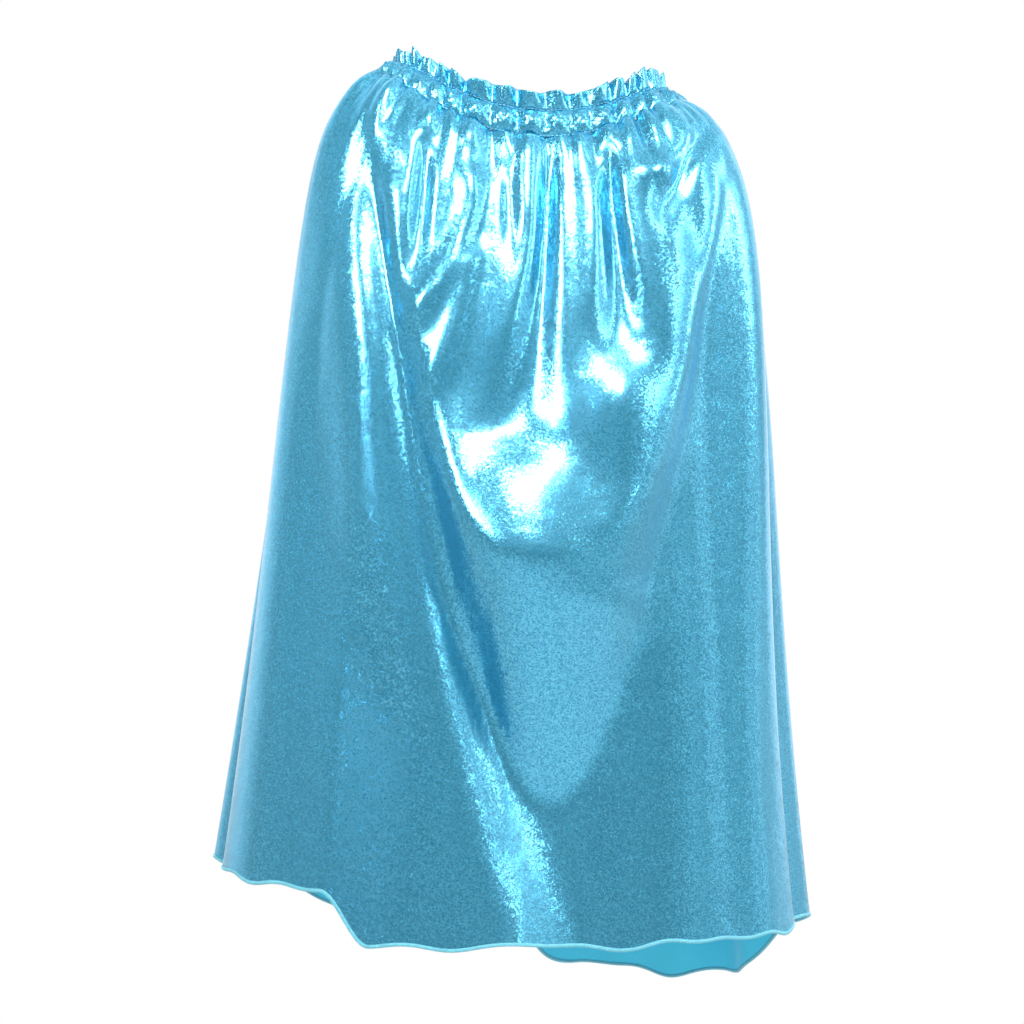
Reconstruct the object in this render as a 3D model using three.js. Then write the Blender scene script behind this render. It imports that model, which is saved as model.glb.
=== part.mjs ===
// Child's superhero cape: one wide foil-knit panel gathered into an elastic neck casing with a
// standing ruffle, rolled overlock edges, a hook-and-loop closure at the throat and a care label.
// It hangs as it does on a wearer who faces +Y. Millimetres, +Z up, origin in the neck opening.
// An angle of 0 is the centre of the back, +90 degrees is the wearer's right side at +X, and
// +-180 degrees is the throat, where the cape opens.
import * as THREE from "three";

const { PI, sin, cos, abs, sign, exp, hypot } = Math;
const RADIANS = PI / 180;

// Neck line: a rounded oval, highest over the shoulders and lowest at the throat.
const NECK = { halfWidth: 121, halfDepth: 75, shift: -1, squareness: 2.2 };
const THROAT = { y: 70.5, flatAngle: 0.4, turnAngle: 0.5 };
const NECK_RISE = { backOverThroat: 18, shoulders: 27, leftOverRight: 11 };
// How far the band leans in towards the neck, in degrees from upright.
const LEAN = { back: 12, side: 62, throat: 20 };

// Hem line and the fall of the cloth down to it, each given for back, right, throat and left.
const HEM = { centreX: -16, halfWidth: 237, backDepth: 165, frontDepth: 150, level: -652 };
// The hem rides up at the wearer's left side and dips towards each front edge.
const HEM_LIFT = { height: 45, angle: -1.75, width: 0.55 };
const HEM_DROP_RIGHT = { depth: 70, from: 1.65, over: 0.65 };
const HEM_DROP_LEFT = { depth: 45, from: 2.2, over: 0.8 };
const SHOULDER_REACH = { back: 60, right: 100, throat: 60, left: 80 };
const FALL_REACH = { back: 330, right: 400, throat: 330, left: 500 };
const FLARE = { back: 8, right: 6, throat: 8, left: 9 };

// Half-angles left open at the throat, at the neck and at the hem, and the rounded front corners.
const OPENING = { neck: 0.035, hemRight: 0.0342, hemLeft: 0.197 };
const HEM_LEFT_CURVE = 1.5;
const CORNER_RADIUS = 45;

// Cloth, band and trim.
const CLOTH = 2.4;
const GAP = 0.3;
const CASING = { half: 10, faceOut: 3.3, wall: 1.8 };
const ELASTIC = { half: 7.2, thickness: 1.2, shortBy: 0.006 };
const STITCH_ROW = { height: 0.8, faceOut: 2.6 };
const RUFFLE = { height: 15, wall: 1.6, lobes: 44, depth: 5, lean: 0.35, bevel: 0.12 };
const OVERLOCK_RADIUS = 1.6;
const FRONT_ROLL_END = 0.985;

// Steps round the neck, shared by every band and by the panel's columns, and down the panel.
const ROUND_STEPS = 64;
const DOWN_STEPS = 12;
const RUFFLE_STEPS_PER_LOBE = 4;
const SLOPE_STEP = 1e-3;
const EDGE_STEP = 0.004;

// Closure tab: it is sewn to the right end of the band and crosses over the left end.
const TAB = { thickness: 1.6, half: 10 };
const HINGE_X = 6.5;
const ROOT = { length: 35, stitchedWidth: 24, stitchedHeight: 13 };
const FLAP = { length: 50, stepFrom: 8, stepTo: 13 };
const TAPE = { length: 32, half: 8, thickness: 1.2, start: -10 };
const BORDER = { width: 0.8, thickness: 0.7 };
const BARTACK = { width: 3, half: 7, thickness: 0.6, inset: 9 };
const LABEL = { width: 30, length: 45, thickness: 0.8, top: -4 };
const LABEL_SEAM = { inset: 2, height: 1.6, depth: 1 };
const ROUNDING = { root: 2, tape: 1, tack: 0.8, label: 1.5, seam: 0.6, borderOut: 1.5, borderIn: 0.7 };

const COLOURS = {
  foil: { color: 0x4b9ab8, roughness: 0.35, metalness: 0.7 },
  thread: { color: 0xa9dbe2, roughness: 0.7, metalness: 0 },
  elastic: { color: 0xf0f0ec, roughness: 0.8, metalness: 0 },
  tape: { color: 0xe4eef0, roughness: 0.9, metalness: 0 },
  label: { color: 0xf7f7f4, roughness: 0.6, metalness: 0 },
};

// ---- neck line -------------------------------------------------------------------------------

const power = (value, squareness) => sign(value) * abs(value) ** (2 / squareness);
const easeInOut = (t) => THREE.MathUtils.smoothstep(t, 0, 1);

// The angle that drives height and lean: it stays at the throat's value across the flat front.
function levelAngle(angle) {
  const fromThroat = PI - abs(angle);
  const past = Math.max(0, fromThroat - THROAT.flatAngle) * (PI / (PI - THROAT.flatAngle));
  return (angle < 0 ? -1 : 1) * (PI - past);
}

function neckPoint(angle) {
  const level = levelAngle(angle);
  const x = NECK.shift + NECK.halfWidth * power(sin(angle), NECK.squareness);
  const y = Math.min(-NECK.halfDepth * power(cos(angle), NECK.squareness), THROAT.y);
  const z =
    NECK_RISE.backOverThroat * cos(level) -
    NECK_RISE.shoulders * cos(2 * level) -
    NECK_RISE.leftOverRight * sin(level);
  return new THREE.Vector3(x, y, z);
}

// Level and away from the neck: square to the oval, and straight ahead across the flat throat.
function outwards(angle) {
  const oval = new THREE.Vector3(sin(angle) / NECK.halfWidth, -cos(angle) / NECK.halfDepth, 0);
  const past = (PI - abs(angle) - THROAT.flatAngle) / THROAT.turnAngle;
  return oval.normalize().lerp(new THREE.Vector3(0, 1, 0), 1 - easeInOut(past)).normalize();
}

// A value given for back, right, throat and left, blended round the body.
function around(angle, { back, right, throat, left }) {
  const rightShare = Math.max(0, sin(angle)) ** 2;
  const leftShare = Math.max(0, -sin(angle)) ** 2;
  const backShare = (1 + cos(angle)) / 2;
  const middle = backShare * back + (1 - backShare) * throat;
  return cos(angle) ** 2 * middle + rightShare * right + leftShare * left;
}

function leanAt(angle) {
  const level = levelAngle(angle);
  const { back, side, throat } = LEAN;
  return RADIANS * around(level, { back, right: side, throat, left: side });
}

// The band's own axes at an angle: face points away from the neck, up runs up the cloth.
function bandFrame(angle) {
  const out = outwards(angle);
  const lean = leanAt(angle);
  const face = out.clone().multiplyScalar(cos(lean)).setZ(sin(lean));
  const up = out.clone().multiplyScalar(-sin(lean)).setZ(cos(lean));
  return { centre: neckPoint(angle), out, face, up };
}

function onBand(angle, outward, upward) {
  const { centre, face, up } = bandFrame(angle);
  return centre.addScaledVector(face, outward).addScaledVector(up, upward);
}

// ---- cape panel surface ------------------------------------------------------------------------

function hemPoint(angle) {
  const x = HEM.centreX + HEM.halfWidth * power(sin(angle), NECK.squareness);
  const depth = cos(angle) > 0 ? HEM.backDepth : HEM.frontDepth;
  const y = -depth * power(cos(angle), NECK.squareness);
  const lift = HEM_LIFT.height * exp(-(((angle - HEM_LIFT.angle) / HEM_LIFT.width) ** 2));
  const dip = ({ depth: deep, from, over }, turned) => deep * easeInOut((turned - from) / over);
  const drop = dip(HEM_DROP_RIGHT, angle) + dip(HEM_DROP_LEFT, -angle);
  return new THREE.Vector3(x, y, HEM.level + lift - drop);
}

// The cloth leaves the band in line with it, turns over the shoulder and falls to the hem.
function fall(angle) {
  const { centre, out, up } = bandFrame(angle);
  const top = centre.addScaledVector(up, -(CASING.half + STITCH_ROW.height + 2 * GAP));
  const shoulder = top.clone().addScaledVector(up, -around(angle, SHOULDER_REACH));
  const flare = RADIANS * around(angle, FLARE);
  const down = out.multiplyScalar(sin(flare)).setZ(-cos(flare));
  const hem = hemPoint(angle);
  const hanging = hem.clone().addScaledVector(down, -around(angle, FALL_REACH));
  return new THREE.CubicBezierCurve3(top, shoulder, hanging, hem);
}

// Where the front edges run: share is 0 at the neck and 1 at the hem.
const rightEdge = (share) => PI - THREE.MathUtils.lerp(OPENING.neck, OPENING.hemRight, share);
const leftEdge = (share) =>
  THREE.MathUtils.lerp(OPENING.neck, OPENING.hemLeft, share ** HEM_LEFT_CURVE) - PI;

// How far the hem is rounded up at a distance from the nearest front edge.
function cornerLift(distance) {
  const inside = Math.max(0, CORNER_RADIUS - distance);
  return CORNER_RADIUS - Math.sqrt(CORNER_RADIUS ** 2 - inside ** 2);
}

// A point of the panel: across runs 0 to 1 from the left front edge to the right one, and
// down runs 0 to 1 from the band to the hem.
function panelPoint(across, down) {
  const hemAngle = THREE.MathUtils.lerp(leftEdge(1), rightEdge(1), across);
  const hem = hemPoint(hemAngle);
  const edge = hemPoint(across < 0.5 ? leftEdge(1) : rightEdge(1));
  const distance = hypot(hem.x - edge.x, hem.y - edge.y);
  const length = abs(HEM.level);
  const share = down * (1 - cornerLift(distance) / length);
  const angle = THREE.MathUtils.lerp(leftEdge(share), rightEdge(share), across);
  return fall(angle).getPoint(share);
}

// The cloth's own normal. Along the top it is the band's, so that the two stay in line.
function panelNormal(across, down) {
  if (down === 0) return bandFrame(THREE.MathUtils.lerp(leftEdge(0), rightEdge(0), across)).face;
  const step = SLOPE_STEP;
  const point = (a, d) => panelPoint(THREE.MathUtils.clamp(a, 0, 1), THREE.MathUtils.clamp(d, 0, 1));
  const sideways = point(across + step, down).sub(point(across - step, down));
  const downwards = point(across, down + step).sub(point(across, down - step));
  return downwards.cross(sideways).normalize();
}

// ---- lofting -----------------------------------------------------------------------------------

// A closed body through equal outlines. Each outline lists one face's points and then the other
// face's points back again, so that an end is closed by a ladder of quads between the two faces.
function loft(outlines) {
  const count = outlines[0].length;
  const triangles = [];
  const quad = (a, b, c, d) => triangles.push(a, b, c, a, c, d);
  for (let row = 0; row + 1 < outlines.length; row++) {
    for (let i = 0; i < count; i++) {
      const next = (i + 1) % count;
      quad(row * count + i, row * count + next, (row + 1) * count + next, (row + 1) * count + i);
    }
  }
  const last = (outlines.length - 1) * count;
  for (let i = 0; i + 1 < count / 2; i++) {
    quad(count - 1 - i, count - 2 - i, i + 1, i);
    quad(last + i, last + i + 1, last + count - 2 - i, last + count - 1 - i);
  }
  const geometry = new THREE.BufferGeometry().setFromPoints(outlines.flat());
  geometry.setIndex(facingOut(outlines.flat(), triangles));
  geometry.computeVertexNormals();
  return geometry;
}

function facingOut(points, triangles) {
  let volume = 0;
  const cross = new THREE.Vector3();
  for (let i = 0; i < triangles.length; i += 3) {
    const [a, b, c] = triangles.slice(i, i + 3).map((index) => points[index]);
    volume += cross.crossVectors(a, b).dot(c);
  }
  return volume > 0 ? triangles : triangles.reverse();
}

const stations = (count, from, to) =>
  Array.from({ length: count + 1 }, (_, i) => THREE.MathUtils.lerp(from, to, i / count));

// A strip carried round the neck: its outline's corners are given as [outward, upward], and
// inset is the angle by which it stops short of the band's ends.
function neckBand(outline, inset = 0) {
  const [first, last] = [leftEdge(0), rightEdge(0)];
  const angles = stations(ROUND_STEPS, first, last);
  const inside = angles.map((angle) => THREE.MathUtils.clamp(angle, first + inset, last - inset));
  return loft(inside.map((angle) => outline.map(([p, q]) => onBand(angle, p, q))));
}

const rectangle = (left, bottom, right, top) => [
  [left, bottom],
  [left, top],
  [right, top],
  [right, bottom],
];

// ---- neck band ---------------------------------------------------------------------------------

// The casing is one strip folded into a channel: its raw edge ends inside, above the lower web.
function neckCasing() {
  const { half, faceOut, wall } = CASING;
  const lowerWeb = -half + wall - 0.1;
  const outside = [
    [-faceOut, lowerWeb + GAP],
    [-faceOut, half],
    [faceOut, half],
    [faceOut, -half],
    [-faceOut, -half],
  ];
  const inside = [
    [-faceOut, lowerWeb],
    [faceOut - wall, lowerWeb],
    [faceOut - wall, half - wall],
    [wall - faceOut, half - wall],
    [wall - faceOut, lowerWeb + GAP],
  ];
  return neckBand([...outside, ...inside]);
}

function neckElastic() {
  const { half, thickness, shortBy } = ELASTIC;
  return neckBand(rectangle(-thickness / 2, -half, thickness / 2, half), shortBy);
}

function stitchRow(bottom) {
  const { height, faceOut } = STITCH_ROW;
  return neckBand(rectangle(-faceOut, bottom, faceOut, bottom + height));
}

// The heading stands more upright than the band, and waves in and out in even lobes.
function rufflePoint(angle, outward, height) {
  const foot = CASING.half + STITCH_ROW.height + 4 * GAP;
  const { face, up } = bandFrame(angle);
  const rise = up.lerp(new THREE.Vector3(0, 0, 1), 1 - RUFFLE.lean).normalize();
  const wave = RUFFLE.depth * (height / RUFFLE.height) * cos(RUFFLE.lobes * angle);
  const point = onBand(angle, outward + wave, foot);
  return point.addScaledVector(rise, height + RUFFLE.bevel * outward * face.z);
}

function ruffleHeading() {
  const { height, wall, lobes } = RUFFLE;
  const heights = [0, height];
  const outline = (angle) => [
    ...heights.map((h) => rufflePoint(angle, wall / 2, h)),
    ...heights.toReversed().map((h) => rufflePoint(angle, -wall / 2, h)),
  ];
  return loft(stations(lobes * RUFFLE_STEPS_PER_LOBE, leftEdge(0), rightEdge(0)).map(outline));
}

// ---- cape and its rolled edges -------------------------------------------------------------------

const panelRows = stations(DOWN_STEPS, 0, 1);
const panelColumns = stations(ROUND_STEPS, 0, 1);

function panelShell() {
  const onFace = (across, down, side) =>
    panelPoint(across, down).addScaledVector(panelNormal(across, down), (side * CLOTH) / 2);
  return loft(
    panelColumns.map((across) => [
      ...panelRows.map((down) => onFace(across, down, 1)),
      ...panelRows.toReversed().map((down) => onFace(across, down, -1)),
    ]),
  );
}

// A six-sided thread roll just clear of a cloth edge. Each station gives the edge's point, the
// direction away from the cloth and the cloth's normal.
function threadRoll(edge) {
  const corners = [150, 90, 30, -30, -90, -150].map((degrees) => degrees * RADIANS);
  const reach = GAP + OVERLOCK_RADIUS;
  return loft(
    edge.map(({ point, away, normal }) =>
      corners.map((corner) =>
        point
          .clone()
          .addScaledVector(away, reach + OVERLOCK_RADIUS * sin(corner))
          .addScaledVector(normal, OVERLOCK_RADIUS * cos(corner)),
      ),
    ),
  );
}

function clothEdge(across, down, before, after) {
  const along = panelPoint(...after).sub(panelPoint(...before));
  const normal = panelNormal(across, down);
  const away = along.cross(normal).normalize();
  return { point: panelPoint(across, down), away, normal };
}

function hemEdge(across) {
  const before = [Math.max(0, across - EDGE_STEP), 1];
  return clothEdge(across, 1, before, [Math.min(1, across + EDGE_STEP), 1]);
}

// The front edges' rolls stop just short of the hem's.
function frontEdgeRoll(across) {
  const edge = (down) => {
    const above = [across, Math.max(0, down - EDGE_STEP)];
    const below = [across, down + EDGE_STEP];
    return across ? clothEdge(across, down, below, above) : clothEdge(across, down, above, below);
  };
  return threadRoll(stations(DOWN_STEPS, 0, FRONT_ROLL_END).map(edge));
}

// ---- closure, bar tacks and label ----------------------------------------------------------------

function roundedPlate(width, height, radius) {
  const [x, y] = [width / 2, height / 2];
  const shape = new THREE.Shape();
  shape.moveTo(radius - x, -y).lineTo(x - radius, -y);
  shape.absarc(x - radius, radius - y, radius, -PI / 2, 0);
  shape.absarc(x - radius, y - radius, radius, 0, PI / 2);
  shape.absarc(radius - x, y - radius, radius, PI / 2, PI);
  shape.absarc(radius - x, radius - y, radius, PI, 1.5 * PI);
  return shape;
}

const extrude = (shape, depth) =>
  new THREE.ExtrudeGeometry(shape, { depth, bevelEnabled: false, curveSegments: 3 });

// A row of stitches that runs round a tape's edge.
function borderStitching(width, height) {
  const [outerWidth, outerHeight] = [width + 2 * BORDER.width, height + 2 * BORDER.width];
  const shape = roundedPlate(outerWidth, outerHeight, ROUNDING.borderOut);
  shape.holes.push(roundedPlate(width, height, ROUNDING.borderIn));
  return extrude(shape, BORDER.thickness);
}

// The flap's outline seen from above: it starts level with the root and steps out over the tapes.
function flapProfile() {
  const step = 2 * (TAPE.thickness + GAP);
  const inner = [
    [GAP, 0],
    [FLAP.stepFrom, 0],
    [FLAP.stepTo, step],
    [FLAP.length, step],
  ];
  const outer = inner.toReversed().map(([x, y]) => [x, y + TAB.thickness]);
  return new THREE.Shape([...inner, ...outer].map(([x, y]) => new THREE.Vector2(x, y)));
}

// ---- assembly ------------------------------------------------------------------------------------

function mesh(name, geometry, finish) {
  const made = new THREE.Mesh(geometry, new THREE.MeshStandardMaterial(COLOURS[finish]));
  made.name = name;
  return made;
}

function place(object, x, y, z) {
  object.position.set(x, y, z);
  return object;
}

// A group whose X runs along the throat, Y runs up the band and Z points out of its face.
function throatGroup() {
  const { centre, face, up } = bandFrame(PI);
  const group = new THREE.Group();
  const across = new THREE.Vector3().crossVectors(up, face);
  group.quaternion.setFromRotationMatrix(new THREE.Matrix4().makeBasis(across, up, face));
  group.position.copy(centre).setX(0);
  return group;
}

function closure() {
  const group = throatGroup();
  // Looking at the band from outside, +X of this group is the wearer's left.
  const rootFace = CASING.faceOut + GAP;
  const tapeCentre = -(TAPE.start - TAPE.length / 2);
  const hookFace = rootFace + TAPE.thickness + GAP;
  const rootCentre = -(HINGE_X + GAP + ROOT.length / 2);
  const plate = (length, half, radius, depth) =>
    extrude(roundedPlate(length, 2 * half, radius), depth);

  const rootPlate = plate(ROOT.length, TAB.half, ROUNDING.root, TAB.thickness);
  const root = mesh("closure_tab_root", rootPlate, "foil");
  const rootBorder = borderStitching(ROOT.stitchedWidth, ROOT.stitchedHeight);
  const rootStitching = mesh("closure_root_stitching", rootBorder, "thread");
  group.add(place(root, rootCentre, 0, rootFace));
  group.add(place(rootStitching, rootCentre, 0, rootFace + TAB.thickness + GAP));

  const tapePlate = plate(TAPE.length, TAPE.half, ROUNDING.tape, TAPE.thickness);
  const loop = mesh("loop_tape", tapePlate, "tape");
  const border = borderStitching(TAPE.length + 2 * GAP, 2 * TAPE.half + 2 * GAP);
  group.add(place(loop, tapeCentre, 0, rootFace));
  group.add(place(mesh("loop_tape_stitching", border, "thread"), tapeCentre, 0, rootFace));

  const hook = mesh("hook_tape", tapePlate.clone(), "tape");
  const hookBorder = mesh("hook_tape_stitching", border.clone(), "thread");
  group.add(place(hook, tapeCentre, 0, hookFace));
  const borderFace = hookFace + TAPE.thickness - BORDER.thickness;
  group.add(place(hookBorder, tapeCentre, 0, borderFace));

  const flap = mesh("closure_flap", extrude(flapProfile(), 2 * TAB.half), "foil");
  flap.rotation.x = PI / 2;
  group.add(place(flap, -HINGE_X, TAB.half, rootFace));
  return group;
}

// Bar tacks hold the elastic's ends on the neck side of the casing.
function bartack(name, side) {
  const { half, thickness, width, inset } = BARTACK;
  const group = throatGroup();
  const tackPlate = extrude(roundedPlate(width, 2 * half, ROUNDING.tack), thickness);
  const tack = mesh(name, tackPlate, "thread");
  const outward = -(CASING.faceOut + GAP + thickness);
  group.add(place(tack, -side * (HINGE_X + inset), 0, outward));
  return group;
}

// The label hangs straight down inside the centre back, from a row of stitches on the casing.
function careLabel() {
  const inside = onBand(0, -(CASING.faceOut + GAP), LABEL.top);
  const face = inside.y + LABEL_SEAM.depth + GAP;
  const group = new THREE.Group();
  group.rotation.x = PI / 2;
  group.position.set(NECK.shift, face, inside.z - LABEL.length / 2);
  const plate = extrude(roundedPlate(LABEL.width, LABEL.length, ROUNDING.label), LABEL.thickness);
  group.add(place(mesh("care_label", plate, "label"), 0, 0, -LABEL.thickness));
  const seamWidth = LABEL.width - 2 * LABEL_SEAM.inset;
  const seam = extrude(roundedPlate(seamWidth, LABEL_SEAM.height, ROUNDING.seam), LABEL_SEAM.depth);
  const stitching = mesh("care_label_stitching", seam, "thread");
  const seamCentre = LABEL.length / 2 - LABEL_SEAM.height / 2;
  group.add(place(stitching, 0, seamCentre, GAP));
  return group;
}

const upperSeam = CASING.half + GAP;
const cape = new THREE.Group();
cape.add(
  mesh("cape_panel", panelShell(), "foil"),
  mesh("ruffle_heading", ruffleHeading(), "foil"),
  mesh("neck_casing", neckCasing(), "foil"),
  mesh("neck_elastic", neckElastic(), "elastic"),
  mesh("casing_upper_stitching", stitchRow(upperSeam), "thread"),
  mesh("casing_lower_stitching", stitchRow(-upperSeam - STITCH_ROW.height), "thread"),
  mesh("hem_overlock", threadRoll(panelColumns.map(hemEdge)), "thread"),
  mesh("front_edge_overlock_left", frontEdgeRoll(0), "thread"),
  mesh("front_edge_overlock_right", frontEdgeRoll(1), "thread"),
  closure(),
  bartack("elastic_bartack_left", -1),
  bartack("elastic_bartack_right", 1),
  careLabel(),
);

export default cape;
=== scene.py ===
"""A child's superhero cape in foil-printed knit, hanging as if worn by someone who faces +Y.

Lengths are in millimetres until a mesh is made, and Blender's objects are in metres. An angle of 0
is the centre of the back, +90 degrees is the side at +X, and +-180 degrees is the throat.
"""
import logging
from dataclasses import dataclass, field
from enum import Enum
from math import cos, pi, radians, sin
from typing import Any, Sequence

import bpy
import numpy as np
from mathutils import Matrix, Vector
from numpy.typing import NDArray


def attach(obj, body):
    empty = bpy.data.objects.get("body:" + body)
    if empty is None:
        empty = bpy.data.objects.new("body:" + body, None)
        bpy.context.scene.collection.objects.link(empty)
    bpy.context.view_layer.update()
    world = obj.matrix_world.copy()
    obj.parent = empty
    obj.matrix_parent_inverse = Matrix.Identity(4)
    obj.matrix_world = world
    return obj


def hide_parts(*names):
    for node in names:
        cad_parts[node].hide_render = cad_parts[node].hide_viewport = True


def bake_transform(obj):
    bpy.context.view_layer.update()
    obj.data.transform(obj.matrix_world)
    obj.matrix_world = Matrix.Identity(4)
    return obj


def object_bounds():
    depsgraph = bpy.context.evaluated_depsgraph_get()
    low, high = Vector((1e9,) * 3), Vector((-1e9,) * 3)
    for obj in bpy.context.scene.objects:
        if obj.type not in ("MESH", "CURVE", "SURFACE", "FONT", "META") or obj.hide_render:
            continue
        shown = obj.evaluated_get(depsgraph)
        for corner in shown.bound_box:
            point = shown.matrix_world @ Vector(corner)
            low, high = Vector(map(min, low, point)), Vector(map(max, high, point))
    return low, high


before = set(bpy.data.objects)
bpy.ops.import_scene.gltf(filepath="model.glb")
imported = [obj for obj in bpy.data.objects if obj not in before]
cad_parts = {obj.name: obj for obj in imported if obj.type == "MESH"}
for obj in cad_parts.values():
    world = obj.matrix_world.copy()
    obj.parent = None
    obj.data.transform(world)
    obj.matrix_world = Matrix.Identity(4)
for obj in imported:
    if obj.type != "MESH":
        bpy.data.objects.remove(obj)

Array = NDArray[np.float64]
MM = 0.001
UP = np.array([0.0, 0.0, 1.0])
STITCH_ROW = 10.7  # each row of stitches, above and below the band's middle
CAD_BOX = [list(corner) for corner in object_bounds()]
log = logging.getLogger("cape")


class Body(str, Enum):
    """The CAD bodies that a piece can ride on."""

    CAPE = "cape"
    FLAP = "closure_flap"
    LABEL = "care_label"


class Slot(str, Enum):
    """The record's material slots."""

    FOIL = "foil_knit"
    ELASTIC = "woven_elastic"
    THREAD = "sewing_thread"
    OVERLOCK = "overlock_thread"
    HOOKS = "hook_tape"
    LOOPS = "loop_tape"
    SATIN = "label_satin"


# ---- numbers and arrays --------------------------------------------------------------------------


def ease(t: Array | float) -> Array:
    """Smooth step from 0 to 1 as t goes from 0 to 1."""
    t = np.clip(t, 0.0, 1.0)
    return t * t * (3.0 - 2.0 * t)


def between(value: Array, start: float, end: float) -> Array:
    """Smooth step from 0 at start to 1 at end, either way round."""
    return ease((value - start) / (end - start))


def hump(value: Array, centre: float | Array, width: float | Array) -> Array:
    """A bell of height 1 at centre that falls to 1/e at width."""
    return np.exp(-(((value - centre) / width) ** 2))


def signed_power(value: Array, squareness: float) -> Array:
    """The value's sign times its size raised to 2 / squareness, which squares up an oval."""
    return np.sign(value) * np.abs(value) ** (2.0 / squareness)


def unit(vectors: Array) -> Array:
    """The vectors along the last axis, each scaled to length 1."""
    return vectors / np.linalg.norm(vectors, axis=-1, keepdims=True)


def soft_max(first: Array, second: Array, radius: float) -> Array:
    """The larger of two heights, with the corner between them rounded over a radius."""
    middle, half = (first + second) / 2, (first - second) / 2
    return middle + np.sqrt(half**2 + radius**2)


def waver(angle: Array, seed: int, rates: Sequence[float], size: float) -> Array:
    """A slow irregular wave: a sum of cosines at the given rates with seeded phases.

    Args:
        angle: Where to evaluate it, in radians.
        seed: Picks the phases.
        rates: Waves per radian of each term.
        size: Greatest height of the sum.

    Returns:
        The wave's height at each angle.
    """
    phases = np.random.default_rng(seed).uniform(0.0, 2 * pi, len(rates))
    total = sum(np.cos(rate * angle + phase) for rate, phase in zip(rates, phases))
    return size * total / len(rates)


# ---- meshes --------------------------------------------------------------------------------------


def build_mesh(name: str, points: Array, faces: Array, uv: Array | None = None) -> bpy.types.Object:
    """Puts points and quads into a new smooth object.

    Args:
        name: The piece's name.
        points: Vertices in millimetres, one per row.
        faces: Vertex numbers, four per row.
        uv: Each vertex's place on the flat cloth, in metres.

    Returns:
        The object, at the origin.
    """
    mesh = bpy.data.meshes.new(name)
    mesh.from_pydata((points * MM).tolist(), [], faces.tolist())
    if uv is not None:
        layer = mesh.uv_layers.new(name="cloth")
        layer.data.foreach_set("uv", uv[faces.ravel()].astype(np.float32).ravel())
    mesh.shade_smooth()
    mesh.validate()
    made = bpy.data.objects.new(name, mesh)
    bpy.context.collection.objects.link(made)
    return made


def grid_faces(rows: int, columns: int, round_rows: bool = False, round_columns: bool = False) -> Array:
    """Quads over a grid of points numbered row by row.

    Args:
        rows: Points down the grid.
        columns: Points across it.
        round_rows: The last row joins the first.
        round_columns: The last column joins the first.

    Returns:
        Vertex numbers, four per quad.
    """
    r = np.arange(rows if round_rows else rows - 1)[:, None]
    c = np.arange(columns if round_columns else columns - 1)[None, :]
    below, right = (r + 1) % rows, (c + 1) % columns
    corners = [r * columns + c, r * columns + right, below * columns + right, below * columns + c]
    return np.stack(np.broadcast_arrays(*corners), -1).reshape(-1, 4)


def grid_mesh(name: str, points: Array, uv: Array | None = None, flip: bool = False) -> bpy.types.Object:
    """An open sheet over a grid of points.

    Args:
        name: The piece's name.
        points: Vertices in millimetres, shaped rows, columns, 3.
        uv: Each vertex's place on the flat cloth in metres, shaped rows, columns, 2.
        flip: Turns the faces to the other side.

    Returns:
        The sheet.
    """
    rows, columns = points.shape[:2]
    faces = grid_faces(rows, columns)
    flat_uv = None if uv is None else uv.reshape(-1, 2)
    return build_mesh(name, points.reshape(-1, 3), faces[:, ::-1] if flip else faces, flat_uv)


def tube_faces(rings: int, sides: int) -> Array:
    """Quads over one closed tube, numbered ring by ring.

    Args:
        rings: Rings along the tube.
        sides: Points round each ring, an even number.

    Returns:
        Vertex numbers, four per quad, with a fan of quads over each end.
    """
    cap = np.array([[0, k, k + 1, k + 2] for k in range(1, sides - 1, 2)])
    wall = grid_faces(rings, sides, round_columns=True)
    return np.concatenate([wall, cap[:, ::-1], cap + (rings - 1) * sides])


def tubes(name: str, spines: Array, first: Array, second: Array, sides: int = 6) -> bpy.types.Object:
    """Many closed tubes as one piece.

    Each point is its ring's centre, plus the cosine of the turn times the first radius, plus the sine
    of the turn times the second.

    Args:
        name: The piece's name.
        spines: Centre lines, shaped tubes, rings, 3.
        first: One radius of each ring's oval, the same shape.
        second: The other radius; first x second points along the spine.
        sides: Points round each ring, an even number.

    Returns:
        The piece.
    """
    turn = np.linspace(0, 2 * pi, sides, endpoint=False)[:, None]
    rings = spines[:, :, None] + np.cos(turn) * first[:, :, None] + np.sin(turn) * second[:, :, None]
    count, steps = spines.shape[:2]
    starts = np.arange(count)[:, None, None] * steps * sides
    faces = (tube_faces(steps, sides)[None] + starts).reshape(-1, 4)
    return build_mesh(name, rings.reshape(-1, 3), faces)


def join(piece: bpy.types.Object, other: bpy.types.Object) -> None:
    """Moves the other object's faces into the piece and removes it."""
    with bpy.context.temp_override(active_object=piece, selected_editable_objects=[piece, other]):
        bpy.ops.object.join()


def stitches(
    name: str, starts: Array, ends: Array, out: Array, radius: float, arch: float = 0.3
) -> bpy.types.Object:
    """Thread stitches: capsules that arch out of the cloth and dive into it at both ends.

    Args:
        name: The piece's name.
        starts: First hole of each stitch, one per row.
        ends: Second hole of each stitch.
        out: Direction out of the cloth at each stitch.
        radius: The thread's radius in millimetres.
        arch: How far a stitch's middle stands above its ends.

    Returns:
        The piece.
    """
    step = np.linspace(0, 1, 6)
    run = (ends - starts)[:, None]
    rise = out[:, None] * (np.sin(pi * step) * arch)[None, :, None]
    spines = starts[:, None] + run * step[None, :, None] + rise
    profile = (radius * (1 - (2 * step - 1) ** 6 * 0.65))[None, :, None]
    along = unit(run)
    side = unit(np.cross(out[:, None], along))
    first = np.broadcast_to(side, spines.shape) * profile
    second = np.broadcast_to(np.cross(along, side), spines.shape) * profile
    return tubes(name, spines, first, second)


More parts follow.
